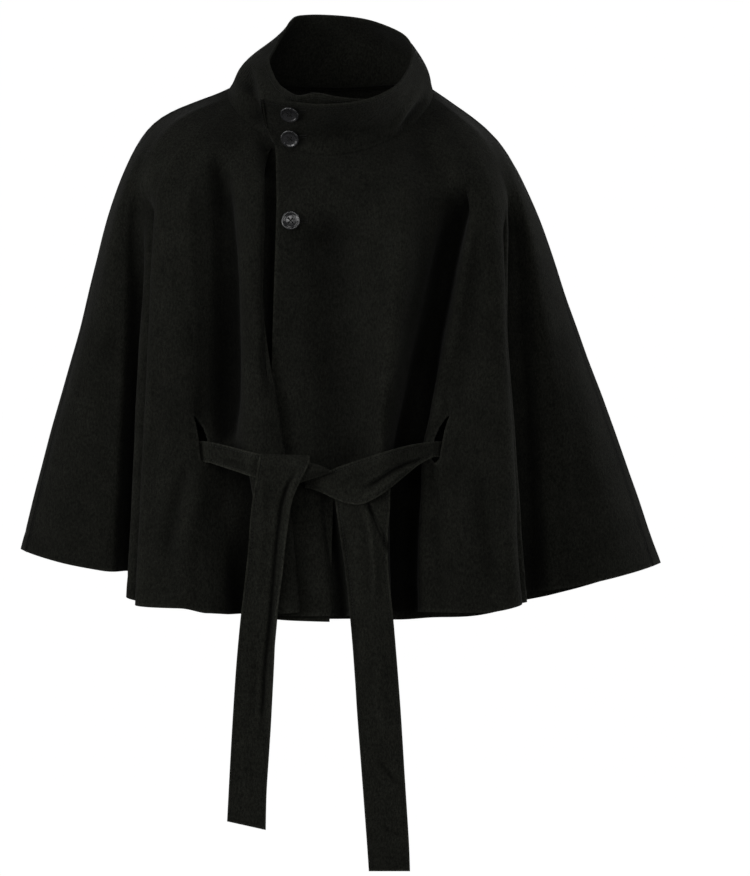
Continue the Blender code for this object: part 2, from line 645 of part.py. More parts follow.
def add_button(name, face, place, finish):
    """Add a button on its thread shank, square to the cloth under it."""
    x, z = (value * MILLIMETRE for value in place)
    hit, normal = face.ray_cast(Vector((x, BEFORE_COAT, z)), Vector((0, 1, 0)))[:2]
    if normal.y > 0:
        normal = -normal
    side = normal.cross(Vector((0, 0, 1))).normalized()
    up = side.cross(normal)
    foot = BUTTON_GAP + cloth_rise(face, hit, normal, side, up, SHANK_RADIUS)
    back = max(foot + SHANK_LENGTH, BUTTON_GAP + cloth_rise(face, hit, normal, side, up, BUTTON_RADIUS))
    profile = [(SHANK_RADIUS, foot), (SHANK_RADIUS, back)]
    profile += [(radius, height + back) for radius, height in BUTTON_PROFILE]
    points = []
    for radius, height in profile:
        level = hit + normal * height * MILLIMETRE
        for step in range(BUTTON_SIDES):
            angle = 2 * math.pi * step / BUTTON_SIDES
            ray = side * math.cos(angle) + up * math.sin(angle)
            points.append(level + ray * radius * MILLIMETRE)
    faces = [list(range(BUTTON_SIDES))]
    for ring in range(len(profile) - 1):
        for step in range(BUTTON_SIDES):
            after = (step + 1) % BUTTON_SIDES
            low, high = ring * BUTTON_SIDES, (ring + 1) * BUTTON_SIDES
            faces.append((low + step, high + step, high + after, low + after))
    top = (len(profile) - 1) * BUTTON_SIDES
    faces.append([top + step for step in reversed(range(BUTTON_SIDES))])
    return add_object(name, points, faces, finish)


def main():
    """Clear the scene and build the coat."""
    for old in list(bpy.data.objects):
        bpy.data.objects.remove(old, do_unlink=True)
    grid, normals = make_coat()
    face = outer_face(grid, normals)
    make_belt(face)
    horn = material("button_horn", BUTTON_HORN)
    for number, place in enumerate(BUTTON_PLACES, 1):
        add_button(f"button_{number}", face, place, horn)


main()
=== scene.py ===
"""The looks of a belted cape coat of thick black wool, hollow, as it hangs when worn.

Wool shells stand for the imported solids, with their creases, rolled edges, sewing and buttonholes.
Left and right are the wearer's. X points to the wearer's left, -Y to the front and +Z up.
"""

import math

import bmesh
import bpy
import numpy as np
from bpy.props import FloatProperty, FloatVectorProperty, IntProperty, PointerProperty
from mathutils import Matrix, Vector
from mathutils.bvhtree import BVHTree
from mathutils.kdtree import KDTree


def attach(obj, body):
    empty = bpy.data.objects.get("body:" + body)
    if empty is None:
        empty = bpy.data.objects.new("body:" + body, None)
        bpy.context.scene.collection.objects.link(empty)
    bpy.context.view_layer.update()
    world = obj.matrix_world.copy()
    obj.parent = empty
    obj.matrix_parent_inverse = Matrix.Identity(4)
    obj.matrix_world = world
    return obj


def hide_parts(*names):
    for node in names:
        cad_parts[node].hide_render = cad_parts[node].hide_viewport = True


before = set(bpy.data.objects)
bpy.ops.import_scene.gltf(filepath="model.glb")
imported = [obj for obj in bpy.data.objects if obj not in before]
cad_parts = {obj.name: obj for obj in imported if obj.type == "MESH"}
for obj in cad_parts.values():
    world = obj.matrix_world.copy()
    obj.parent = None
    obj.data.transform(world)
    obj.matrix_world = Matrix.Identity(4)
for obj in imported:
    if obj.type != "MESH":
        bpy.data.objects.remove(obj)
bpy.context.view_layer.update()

bl_info = {
    "name": "Belted cape coat",
    "version": (1, 0, 0),
    "blender": (4, 5, 0),
    "location": "View3D > Sidebar > Coat",
    "description": "Makes the wool shells, sewing, buttons and studio of a belted cape coat",
    "category": "Object",
}

MM = 0.001
BODY = "root"
FRONT, BEHIND = Vector((0, -1, 0)), Vector((0, 1, 0))
COAT_NODES = ("collar", "left_front", "right_front", "back")
BELT_NODES = ("belt_inner", "belt_right_stretch", "belt_left_stretch", "belt_right_tail", "belt_left_tail")
BUTTON_NODES = ("button_1", "button_2", "button_3")

WELD = 0.01 * MM  # points of a solid nearer than this are one point
STRIP_WIDTH = 3.2 * MM  # the strip of faces along a solid's edges, across its wall, is narrower
FACING = 0.6  # least share of a normal or a run that points the looked-for way
WALL_TURN = math.radians(68)  # a solid's outer side ends where it turns more than this
EDGE_TURN = math.radians(55)  # a wall's edge is rounded where it turns more than this
LINE_STEP = 1 * MM  # between two points of a belt's edge
STRIP_ROW = 9.0 * MM  # between two rows of points across a strip of belt
STRIP_COLUMNS = 7  # points in a row across it
FIT_ROUNDS = 5  # times that a smooth face is drawn back to its solid's points
FAR_OFF = 1.0  # metres to the nearest edge of a kind that a piece doesn't have
SEAM_REACH = 1.8 * MM  # an edge this near another piece of the coat is a seam
SEAM_MEET = 0.4 * MM  # a seam's edge goes on this far, so that the two pieces meet
SEWN = 0.1 * MM  # a point this near a seam's points is one of them
SEAM_FADE = 12 * MM  # creases and unevenness rise to their full height over this length from a seam
SEAM_LIPS = {"collar": (1.5 * MM, 6 * MM)}  # how far a piece stands out at its seam, and how far from it
# How finely each piece is made, and the faces round its wall's edges where they aren't EDGE_STEPS.
LEVELS = {"collar": 2, "left_front": 3, "right_front": 3, "back": 2, "belt": 3, "knot": 4}
ROUND_STEPS = {"left_front": 1, "right_front": 1}
EDGE_STEPS = 2
# How wide the wool is painted lighter along a free edge, as a highlight, and darker along a seam, as shade.
EDGE_HIGHLIGHT_WIDTH, SEAM_SHADE_WIDTH = 2.2 * MM, 2.6 * MM
# Half width and depth of the rows pressed in by the sewing.
COLLAR_PRESS = (2.0 * MM, 0.8 * MM)
HEM_PRESS = (3.0 * MM, 0.35 * MM)
BELT_PRESS = (1.3 * MM, 0.35 * MM)
# The strip between a row and the edge swells: its middle, half width and height as shares of the row's
# distance from the edge and of its depth.
SWELL_PLACE, SWELL_WIDTH, SWELL_HEIGHT = 0.45, 0.4, 0.5

# Creases of each piece: side (-1 seen from the front, 1 from behind), half width, rise (a trough is
# negative), then the line as (x, z), all in millimetres. A line that ends below the hem runs off it.
ARM_CREASES_RIGHT = (
    (-1, 16, 1.8, ((-262, -170), (-290, -290), (-318, -420), (-334, -560))),
    (-1, 20, -2.0, ((-262, -240), (-280, -350), (-300, -450), (-312, -600))),
    (1, 18, 2.0, ((-262, -180), (-288, -300), (-312, -430), (-326, -560))),
    (1, 16, -2.6, ((-236, -220), (-258, -330), (-276, -440), (-292, -600))),
)
ARM_CREASES_LEFT = (
    (-1, 15, -1.8, ((262, -250), (272, -320), (290, -440), (304, -600))),
    (-1, 18, 1.8, ((252, -230), (290, -360), (322, -470), (346, -570))),
    (1, 18, 2.0, ((256, -200), (290, -330), (318, -450), (338, -570))),
    (1, 15, -2.6, ((232, -240), (256, -350), (276, -460), (296, -600))),
)
CREASES = {
    "left_front": (
        # the deep valley beside the chest, with the soft ridges and troughs of the side panel
        (-1, 12, -24, ((160, -92), (146, -133), (132, -192), (122, -244), (110, -302), (99, -360),
                       (90, -407), (83, -477), (80, -547), (82, -640), (84, -720))),
        (-1, 8, -3.0, ((176, -136), (166, -208), (158, -278), (147, -348), (130, -400))),
        (-1, 10, 1.8, ((142, -230), (140, -290), (128, -350), (112, -398))),
        (-1, 13, -4.5, ((170, -430), (176, -490), (184, -540), (188, -590))),
        (-1, 15, 2.4, ((139, -455), (145, -520), (150, -575), (151, -640))),
        (-1, 9, -1.8, ((206, -455), (214, -500), (222, -560), (226, -602))),
        # the soft ridge at the chest's side and the trough behind the left tail
        (-1, 14, 4.0, ((84, -68), (80, -160), (71, -270), (60, -372))),
        (-1, 9, -14, ((-12, -452), (-6, -480), (-1, -520), (6, -570), (11, -640), (14, -720))),
        # the body stands off the arm
        (-1, 13, -14, ((213, -120), (221, -250), (227, -359), (236, -562), (240, -700))),
    ) + ARM_CREASES_LEFT,
    "right_front": (
        # the valley beside the front's rolled edge, over and below the belt
        (-1, 26, -7.0, ((-146, -90), (-140, -200), (-138, -300), (-138, -400))),
        (-1, 10, -14, ((-137, -60), (-132, -130), (-128, -200), (-127, -280), (-127, -350), (-127, -430))),
        (-1, 9, -22, ((-122, -408), (-114, -450), (-109, -480), (-111, -540), (-113, -640), (-114, -720))),
        # the hollow beside the left front's edge, with the soft ridge next to it
        (-1, 13, -12, ((-88, 0), (-80, -34), (-74, -70), (-72, -110))),
        (-1, 9, -14, ((-68, -50), (-70, -90), (-71, -150), (-72, -220), (-72, -290), (-74, -360))),
        (-1, 13, 2.6, ((-97, -90), (-96, -180), (-94, -260), (-88, -340), (-82, -420), (-76, -500))),
        # the slit's drag lines
        (-1, 8, -4.5, ((-166, -420), (-178, -455), (-190, -505), (-200, -570))),
        (-1, 11, 2.4, ((-156, -436), (-163, -480), (-174, -530), (-180, -600))),
        (-1, 9, -1.8, ((-212, -300), (-209, -370), (-214, -450), (-222, -520))),
        # the body stands off the arm
        (-1, 10, -22, ((-226, -100), (-231, -200), (-238, -359), (-248, -562), (-253, -700))),
    ) + ARM_CREASES_RIGHT,
    "back": (
        (1, 16, -3.0, ((-120, -70), (-132, -150), (-126, -240), (-138, -330), (-134, -420))),
        (1, 13, 2.4, ((-62, -120), (-58, -210), (-66, -300), (-60, -390))),
        (1, 14, -2.6, ((22, -90), (16, -190), (24, -290), (18, -420), (26, -540))),
        (1, 12, 2.0, ((84, -160), (90, -260), (82, -360), (90, -470))),
        (1, 15, -3.0, ((140, -90), (150, -170), (144, -260), (154, -370), (150, -470))),
        (1, 9, -2.4, ((-176, -380), (-160, -410), (-130, -424), (-96, -428))),
        (1, 9, -2.2, ((168, -372), (150, -404), (118, -420), (82, -424))),
    ) + ARM_CREASES_RIGHT + ARM_CREASES_LEFT,
    "collar": (
        # the sharp turn on the right side, with the hollow behind it
        (-1, 4.5, 4.0, ((-97, 52), (-94, 34), (-90, 14), (-87, -8), (-86, -24))),
        (-1, 11, -12, ((-111, 44), (-107, 22), (-102, 0), (-96, -22), (-88, -48))),
        # the turn on the left side
        (-1, 4.0, 3.6, ((107, 26), (98, 7), (85, -15), (73, -33), (59, -49))),
        (-1, 6.0, -5.0, ((112, 10), (103, -5), (92, -21), (82, -37), (70, -50))),
        (-1, 6, -1.6, ((20, -34), (34, -40), (48, -50), (60, -58))),
        (-1, 14, -2.2, ((-20, -40), (6, -44), (30, -42))),
        # the inside of the back
        (1, 12, 2.0, ((60, 96), (54, 70), (58, 44))),
        (1, 11, -1.8, ((-20, 112), (-26, 84), (-18, 56))),
    ),
    "belt_left_stretch": (
        (-1, 3.2, -3.6, ((24, -462), (37, -461), (53, -453), (76, -439), (95, -432), (116, -427))),
        (-1, 4.0, 1.8, ((12, -484), (20, -480), (37, -473), (53, -464), (72, -450), (93, -436),
                        (112, -427))),
        (-1, 6.5, 1.6, ((-4, -452), (20, -442), (50, -433), (90, -421))),
        (-1, 8.0, -4.5, ((-44, -452), (-34, -460), (-18, -470), (0, -480), (14, -487))),
    ),
    "belt_right_stretch": (
        (-1, 3.6, 1.6, ((-150, -432), (-138, -434), (-112, -443), (-88, -451), (-66, -456))),
        (-1, 4.5, -1.6, ((-146, -424), (-134, -428), (-108, -436), (-82, -443), (-60, -447))),
        (-1, 4.0, 1.4, ((-146, -410), (-122, -416), (-98, -424), (-76, -430))),
    ),
    "belt_right_tail": (
        # the edge is turned forward and makes a light strip with a groove beside it
        (-1, 3.6, 3.4, ((-31, -428), (-34, -439), (-45, -454), (-51, -475), (-56, -510), (-62, -570),
                        (-67, -617), (-72, -675), (-75, -720), (-78, -770))),
        (-1, 2.8, -3.2, ((-46, -430), (-45, -442), (-54, -460), (-60, -478), (-65, -510), (-71, -570),
                         (-75, -617), (-81, -675), (-83, -710), (-86, -750))),
        (-1, 6.0, 1.3, ((-86, -440), (-84, -470), (-86, -520), (-90, -600))),
        (-1, 6.0, -1.2, ((-94, -640), (-92, -690), (-104, -760))),
        (-1, 7.0, 1.0, ((-112, -740), (-106, -790), (-100, -840))),
    ),
    "belt_left_tail": (
        # a pleat under the knot, its left side over its right
        (-1, 4.5, 2.6, ((30, -470), (34, -484), (39, -500), (43, -519), (46, -548), (47, -610))),
        (-1, 2.2, -4.2, ((34, -470), (40, -484), (46, -497), (52, -509), (58, -525), (61, -545))),
        (-1, 7.0, -2.0, ((8, -490), (14, -540), (22, -620), (28, -700))),
        (-1, 3.4, -1.6, ((48, -776), (62, -794), (80, -813))),
        (-1, 3.0, -1.2, ((54, -856), (66, -863), (82, -868))),
        (-1, 7.0, 1.2, ((54, -640), (52, -700), (60, -760))),
    ),
    "belt_inner": (),
}
# The chest's soft hollow, in both of the layers that lie over each other there.
CHEST_HOLLOW = (-1, 30, -13, ((-12, -132), (-8, -190), (0, -245), (6, -290), (10, -345), (12, -400),
                              (14, -470)))
HOLLOWS = {"left_front": (CHEST_HOLLOW,), "right_front": (CHEST_HOLLOW,)}
CREASE_STEP = 3 * MM  # between two points of a crease's line
CREASE_FADE = 45.0 * MM  # length over which a crease rises to its full height
CREASE_FADE_SHARE = 0.3  # and the largest share of its line that this takes
CREASE_REACH = 3  # half widths from its line at which a crease ends
CREASE_FACING = 0.4  # share of a normal towards the crease's side from which it has its full height
# The small loop of belt between the wrap and the left stretch: its upper, middle and lower lines.
KNOT_FOLD = (
    ((-44, -166, -431), (-33, -165, -432.5), (-21, -163.5, -435), (-10, -162, -439.5), (-3, -161, -443.5)),
    ((-45, -168, -445), (-34, -168, -443.5), (-22, -166.5, -443), (-11, -164, -443.8), (-3, -161.6, -444.2)),
    ((-47, -165, -460), (-37, -164, -456), (-25, -162.5, -452), (-13, -161.5, -448), (-3, -161, -445)),
)
# The slits' lower ends, drawn up against the belt: the end, the draw and its reach, in millimetres.
SLIT_DRAWS = {"right_front": ((-150, -441), (-1, 8), 11), "left_front": ((116, -441), (1, 8), 11)}
# Painted shade darkens a fold's trough and a painted highlight lightens its ridge: how wide the cloth
# round a point is that its height is compared with, and the height of a full ridge or trough, in millimetres.
FOLD_SHADE_SIZES = {"coat": (20.0, 9.0), "collar": (12.0, 6.0), "belt": (5.0, 1.6)}
UNEVENNESS = 0.7 * MM  # how far the cloth stands uneven between its folds
# The waves of this unevenness: turns per metre along x, y and z, phase, share.
UNEVEN_WAVES = (
    ((9.0, 4.0, 5.5), 0.4, 0.34),
    ((-6.5, 7.0, 8.0), 1.9, 0.26),
    ((14.0, -3.0, 3.5), 2.7, 0.22),
    ((4.0, 11.0, -12.5), 4.1, 0.18),
)
# The cloth has no ridges as near the belt and the buttons as the first length, and full ones from the
# second on.
CALM_NEAR, CALM_FAR = 5.0 * MM, 26.0 * MM
CALM_SEARCH = CALM_FAR + 5 * MM  # no piece is looked for past this

# Sewing. A stitch's form along its length: place as a share of the length, then thickness and rise as
# shares of the thread's radius.
STITCH_FORM = ((-0.5, 0.35, -0.9), (-0.32, 0.9, -0.1), (0.0, 1.0, 0.1), (0.32, 0.9, -0.1),
               (0.5, 0.35, -0.9))
STITCH_SIDES = 6
STITCH_LIFT = 0.3  # share of its thickness that a stitch lies above the cloth
# An edge is stitched where its edge mask is above the first value and its seam mask below the second,
# on runs of more than so many points, and along steps between these two lengths.
STITCHED_EDGE, STITCHED_SEAM = 0.5, 0.3
SHORTEST_RUN = 4
SHORTEST_STEP, LONGEST_STEP = 1e-7, 12 * MM
BELT_RING_Y = -14 * MM  # the middle of the belt's run inside the coat
STRETCH_RUN = Vector((1, 0, -0.15))  # the run of the belt's stretches in front

# Buttons. Sides and depth of the cutters for the thread holes, and the width and turn of softened edges.
HOLE_SIDES, HOLE_DEPTH = 20, 12 * MM
SOFT_WIDTH, SOFT_TURN = 0.18 * MM, math.radians(50)
RIM_SHARE = 0.97  # a packed button's points past this share of its radius are its rim
# The three threads of each crossed stitch, to the side of its middle, and how unevenly each
# button's threads lie. Then a thread's length as a share of the holes' spacing, thickness and height.
TIE_SHIFTS = (-0.35 * MM, 0.0, 0.35 * MM)
TIE_SPREADS = {"button_1": 0.2, "button_2": 0.35, "button_3": 0.12}
TIE_LENGTH, TIE_THREAD, TIE_HEIGHT = 1.5, 0.7 * MM, 0.55 * MM
SHANK_PLACES = (-0.9 * MM, 0.0, 0.9 * MM)  # of the wound threads behind a button
SHANK_DEPTH, SHANK_LENGTH, SHANK_THREAD = 2.6 * MM, 4.4 * MM, 2.4 * MM
# A buttonhole's stitches: number on a side, length, thickness and distance from its middle line, and
# how far the buttonhole goes past the button's middle on the near side.
HOLE_STITCHES, HOLE_STITCH, HOLE_THREAD = 26, 2.0 * MM, 0.75 * MM
HOLE_HALF, HOLE_START, HOLE_LIFT = 1.3 * MM, -5.5 * MM, 0.15 * MM
HOLE_SEARCH = 20 * MM  # the cloth under a buttonhole is looked for from this far in front

# Wool. The part of a noise's range that is used, then what the grain, the fibres and the clouds
# multiply the colour by over that range, and what the painted highlight on edges, the painted shade on
# seams, the painted shade in troughs and the painted highlight on ridges multiply it by.
NOISE_RANGE = (0.30, 0.70)
GRAIN_SPREAD, FIBRE_SPREAD, CLOUD_SPREAD = (0.48, 1.52), (0.65, 1.35), (0.82, 1.18)
PAINTED_EDGE_HIGHLIGHT, PAINTED_SEAM_SHADE, PAINTED_TROUGH_SHADE, PAINTED_RIDGE_HIGHLIGHT = 1.65, 0.28, 0.30, 1.45
BRUSHED = (1.0, 1.0, 0.55)  # the nap is brushed downwards, which makes its grain longer that way
FIBRE_SHARE = 3.4  # fibres to a grain's length
CLOUDS = 26.0  # per metre

# Metres of the round between the studio's floor and its wall, and of the wall above the floor.
FLOOR_BEND, WALL_TOP = 4.0, 12.0
FLOOR_STEPS, FLOOR_SIDES = 16, 96
# Large soft lights round the coat: place, size in metres, power in watts.
LIGHT_TARGET = (0.0, 0.0, -0.35)
LIGHTS = (
    ("front_top", (0.0, -2.2, 2.4), (1.0, 1.0), 3.2),
    ("front_glint", (-0.32, -3.55, 0.55), (0.6, 0.6), 2.4),
    ("right_front", (-1.35, -2.89, -0.07), (1.0, 1.6), 3.0),
    ("right_key", (-2.44, -2.05, -0.07), (1.0, 1.6), 10.5),
    ("right_key_high", (-1.88, -1.58, 1.71), (1.0, 1.6), 3.2),
    ("right_arm_low", (-2.69, -0.72, -1.25), (1.2, 1.0), 4.2),
    ("left_front", (1.35, -2.89, -0.07), (1.0, 1.6), 4.2),
    ("left_side", (2.44, -2.05, -0.07), (1.0, 1.6), 2.4),
    ("left_arm", (3.08, 0.83, -0.07), (1.0, 1.6), 18.5),
    ("left_arm_high", (2.37, 0.63, 1.71), (1.0, 1.6), 2.5),
    ("right_arm_rear", (-2.05, 2.44, -0.07), (1.0, 1.6), 5.0),
    ("rear", (0.0, 3.2, 0.6), (1.8, 1.6), 22.0),
)


# ---------------------------------------------------------------- sizes and finishes for the sidebar


class CoatCloth(bpy.types.PropertyGroup):
    """Sizes of the wool and its sewing."""

    wall: FloatProperty(
        name="Cloth", description="Thickness of the coat's wool", default=2.6 * MM, unit="LENGTH")
    belt_wall: FloatProperty(
        name="Belt", description="Thickness of the belt, two layers pressed flat", default=2.4 * MM,
        unit="LENGTH")
    edge_round: FloatProperty(
        name="Edge round", description="Radius of the cloth's rounded edges", default=1.0 * MM, unit="LENGTH")
    crease_share: FloatProperty(
        name="Creases", description="Share of the creases' depth", default=1.0, min=0.0, max=2.0,
        subtype="FACTOR")
    collar_row: FloatProperty(
        name="Collar stitching", description="From the collar's edge to its stitched row", default=6.0 * MM,
        unit="LENGTH")
    belt_row: FloatProperty(
        name="Belt stitching", description="From the belt's edge to its stitched row", default=4.0 * MM,
        unit="LENGTH")
    hem_row: FloatProperty(
        name="Hem", description="Height of the turned-up hem", default=21.0 * MM, unit="LENGTH")
    stitch: FloatProperty(
        name="Stitch", description="Length of a stitch", default=2.5 * MM, unit="LENGTH")
    stitch_gap: FloatProperty(
        name="Stitch gap", description="Between two stitches", default=0.9 * MM, unit="LENGTH")
    thread: FloatProperty(
        name="Thread", description="Diameter of the thread", default=0.55 * MM, unit="LENGTH")


class CoatWool(bpy.types.PropertyGroup):
    """Finish of the wool, thread and buttons."""

    colour: FloatVectorProperty(
        name="Wool", description="Colour of the coat's wool", default=(0.0262, 0.0269, 0.0218),
        subtype="COLOR", size=3, min=0.0, max=1.0)
    belt_colour: FloatVectorProperty(
        name="Belt wool", description="Colour of the belt's wool", default=(0.0334, 0.0343, 0.0276),
        subtype="COLOR", size=3, min=0.0, max=1.0)
    thread_colour: FloatVectorProperty(
        name="Thread", description="Colour of the thread", default=(0.024, 0.0245, 0.021),
        subtype="COLOR", size=3, min=0.0, max=1.0)
    button_colour: FloatVectorProperty(
        name="Button", description="Colour of the buttons", default=(0.05, 0.05, 0.053),
        subtype="COLOR", size=3, min=0.0, max=1.0)
    nap: FloatProperty(
        name="Nap", description="Size of the wool's napped grains", default=2.0 * MM, unit="LENGTH")
    sheen: FloatProperty(
        name="Sheen", description="Strength of the wool's soft sheen", default=0.10, min=0.0, max=1.0,
        subtype="FACTOR")


class CoatButtons(bpy.types.PropertyGroup):
    """Sizes of a four-hole button."""

    diameter: FloatProperty(
        name="Diameter", description="Diameter of a button", default=22.4 * MM, unit="LENGTH")
    rim: FloatProperty(
        name="Rim", description="Width of the raised rim", default=3.0 * MM, unit="LENGTH")
    hole: FloatProperty(
        name="Hole", description="Diameter of a thread hole", default=1.9 * MM, unit="LENGTH")
    hole_step: FloatProperty(
        name="Hole spacing", description="Between two neighbouring holes", default=3.9 * MM, unit="LENGTH")
    segments: IntProperty(
        name="Segments", description="Segments round a button", default=72, min=24, max=160)
    buttonhole: FloatProperty(
        name="Buttonhole", description="Length of a buttonhole", default=25.0 * MM, unit="LENGTH")


class CoatStage(bpy.types.PropertyGroup):
    """Floor, light and camera."""

    floor_height: FloatProperty(
        name="Floor", description="Height of the floor under the worn coat", default=-1.45, unit="LENGTH")
    floor_radius: FloatProperty(
        name="Floor radius", description="Radius of the round studio floor", default=11.0, unit="LENGTH")
    camera_place: FloatVectorProperty(
        name="Camera", description="Place of the camera", default=(0.0472, -4.1, -0.4047), subtype="XYZ",
        unit="LENGTH", size=3)
    lens: FloatProperty(
        name="Lens", description="Focal length in millimetres on a frame 36 mm high", default=139.31)
    light_share: FloatProperty(
        name="Light", description="Share of the studio lights' power", default=1.0, min=0.0)
    ambient: FloatProperty(
        name="Ambient", description="Light that comes back from the studio's walls", default=0.008, min=0.0,
        max=1.0)


# ---------------------------------------------------------------- meshes


def read_points(mesh):
    """Return a mesh's points as rows of x, y and z."""
    values = np.empty(len(mesh.vertices) * 3, np.float32)
    mesh.vertices.foreach_get("co", values)
    return values.reshape(-1, 3).astype(float)


def read_normals(mesh):
    """Return the normals at a mesh's points."""
    values = np.empty(len(mesh.vertices) * 3, np.float32)
    mesh.vertices.foreach_get("normal", values)
    return values.reshape(-1, 3).astype(float)


def write_points(mesh, points):
    """Move a mesh's points."""
    mesh.vertices.foreach_set("co", points.astype(np.float32).ravel())
    mesh.update()


def select_only(piece):
    """Select one object and make it the active one."""
    bpy.ops.object.select_all(action="DESELECT")
    piece.select_set(True)
    bpy.context.view_layer.objects.active = piece


def link(name, mesh):
    """Put a mesh in the scene as an object at the origin."""
    piece = bpy.data.objects.new(name, mesh)
    bpy.context.scene.collection.objects.link(piece)
    return piece


def search_tree(piece):
    """Return a search tree of a piece's faces."""
    mesh = piece.data
    faces = [tuple(face.vertices) for face in mesh.polygons]
    return BVHTree.FromPolygons([vert.co for vert in mesh.vertices], faces)


def shortest_side(mesh, face):
    """Return the length of a face's shortest side."""
    verts = mesh.vertices
    return min((verts[first].co - verts[second].co).length for first, second in face.edge_keys)


def spin_profile(name, profile, steps, merge, inside):
    """Spin a line of (radius, height) points round the Z axis and return the surface."""
    mesh = bpy.data.meshes.new(name)
    lines = [(place, place + 1) for place in range(len(profile) - 1)]
    mesh.from_pydata([(radius, 0, height) for radius, height in profile], lines, [])
    piece = link(name, mesh)
    select_only(piece)
    bpy.ops.object.mode_set(mode="EDIT")
    bpy.ops.mesh.select_all(action="SELECT")
    bpy.ops.mesh.spin(steps=steps, angle=2 * math.pi, center=(0, 0, 0), axis=(0, 0, 1))
    bpy.ops.mesh.select_all(action="SELECT")
    bpy.ops.mesh.remove_doubles(threshold=merge)
    bpy.ops.mesh.normals_make_consistent(inside=inside)
    bpy.ops.object.mode_set(mode="OBJECT")
    return piece


def outer_side(node, name, towards):
    """Copy a cloth solid, keep the side of its wall that faces towards, as quads, and return it."""
    piece = link(name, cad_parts[node].data.copy())
    piece.data.materials.clear()
    select_only(piece)
    bpy.ops.mesh.customdata_custom_splitnormals_clear()
    bpy.ops.object.mode_set(mode="EDIT")
    bpy.ops.mesh.select_mode(type="FACE")
    bpy.ops.mesh.select_all(action="SELECT")
    bpy.ops.mesh.remove_doubles(threshold=WELD)
    bpy.ops.mesh.tris_convert_to_quads(
        face_threshold=math.pi, shape_threshold=math.pi, topology_influence=2.0)
    bpy.ops.mesh.select_all(action="DESELECT")
    bpy.ops.object.mode_set(mode="OBJECT")
    facing = [face for face in piece.data.polygons
              if face.normal.dot(towards) > FACING and shortest_side(piece.data, face) > STRIP_WIDTH]
    max(facing, key=lambda face: face.center.dot(towards)).select = True
    bpy.ops.object.mode_set(mode="EDIT")
    bpy.ops.mesh.faces_select_linked_flat(sharpness=WALL_TURN)
    bpy.ops.mesh.select_all(action="INVERT")
    bpy.ops.mesh.delete(type="FACE")
    bpy.ops.object.mode_set(mode="OBJECT")
    piece.data.shade_smooth()
    return piece


def smooth_through(piece, levels):
    """Make a coarse cloth face fine and smooth, still through its first points."""
    targets = read_points(piece.data)
    cage = targets.copy()
    smooth = piece.modifiers.new("Smooth", "SUBSURF")
    smooth.boundary_smooth = "PRESERVE_CORNERS"
    smooth.levels = smooth.render_levels = 1
    for _ in range(FIT_ROUNDS):
        bpy.context.view_layer.update()
        shown = piece.evaluated_get(bpy.context.evaluated_depsgraph_get())
        reached = read_points(shown.data)[:len(targets)]
        cage += targets - reached
        write_points(piece.data, cage)
    smooth.levels = smooth.render_levels = levels
    select_only(piece)
    bpy.ops.object.modifier_apply(modifier=smooth.name)


def curve_through(points, step):
    """Return a smooth line through points, with a point every step or less, and the length up to each."""
    points = np.array(points, float)
    lengths = np.linalg.norm(np.diff(points, axis=0), axis=1)
    slopes = np.diff(points, axis=0) / lengths[:, None]
    ahead, behind = lengths[1:, None], lengths[:-1, None]
    inner = (slopes[:-1] * ahead + slopes[1:] * behind) / (ahead + behind)
    tangents = np.vstack([slopes[:1], inner, slopes[-1:]])
    line = [points[:1]]
    for first, length in enumerate(lengths):
        count = max(1, math.ceil(length / step))
        t = (np.arange(1, count + 1) / count)[:, None]
        start, end = 2 * t ** 3 - 3 * t ** 2 + 1, 3 * t ** 2 - 2 * t ** 3
        leave, arrive = (t ** 3 - 2 * t ** 2 + t) * length, (t ** 3 - t ** 2) * length
        line.append(start * points[first] + leave * tangents[first]
                    + end * points[first + 1] + arrive * tangents[first + 1])
    line = np.vstack(line)
    return line, np.concatenate([[0], np.cumsum(np.linalg.norm(np.diff(line, axis=0), axis=1))])


def smooth_step(values, low, high):
    """Return 0 below low, 1 above high and a smooth share between."""
    share = np.clip((values - low) / (high - low), 0.0, 1.0)
    return share * share * (3 - 2 * share)


def crease_rise(points, normals, creases):
    """Return how far creases move a cloth's points along their normals, in metres."""
    rise = np.zeros(len(points))
    for side, half_width, height, route in creases:
        line, at = curve_through(np.array(route) * MM, CREASE_STEP)
        fade = min(CREASE_FADE, CREASE_FADE_SHARE * at[-1])
        strength = smooth_step(at, 0, fade) * smooth_step(at[-1] - at, 0, fade)
        reach = CREASE_REACH * half_width * MM
        low, high = line.min(axis=0) - reach, line.max(axis=0) + reach
        flat = points[:, (0, 2)]
        within = (flat > low).all(axis=1) & (flat < high).all(axis=1)
        near = np.where(within & (normals[:, 1] * side > 0))[0]
        if not len(near):
            continue
        away = np.linalg.norm(flat[near][:, None] - line[None], axis=2)
        nearest = away.argmin(axis=1)
        across = np.exp(-(away.min(axis=1) / (half_width * MM)) ** 2)
        facing = smooth_step(normals[near, 1] * side, 0.0, CREASE_FACING)
        rise[near] += height * MM * across * strength[nearest] * facing
    return rise


def uneven_rise(points):
    """Return how far the cloth stands uneven at its points, in metres."""
    rise = np.zeros(len(points))
    for turns, phase, share in UNEVEN_WAVES:
        rise += share * np.sin(2 * math.pi * points @ np.array(turns) + phase)
    return rise * UNEVENNESS


def slit_draw(points, node):
    """Return how far a cloth's points move where a slit's lower end is drawn up."""
    if node not in SLIT_DRAWS:
        return np.zeros(points.shape)
    end, draw, reach = SLIT_DRAWS[node]
    away = np.linalg.norm(points[:, (0, 2)] - np.array(end) * MM, axis=1)
    return np.exp(-(away / (reach * MM)) ** 2)[:, None] * np.array((draw[0], 0, draw[1])) * MM


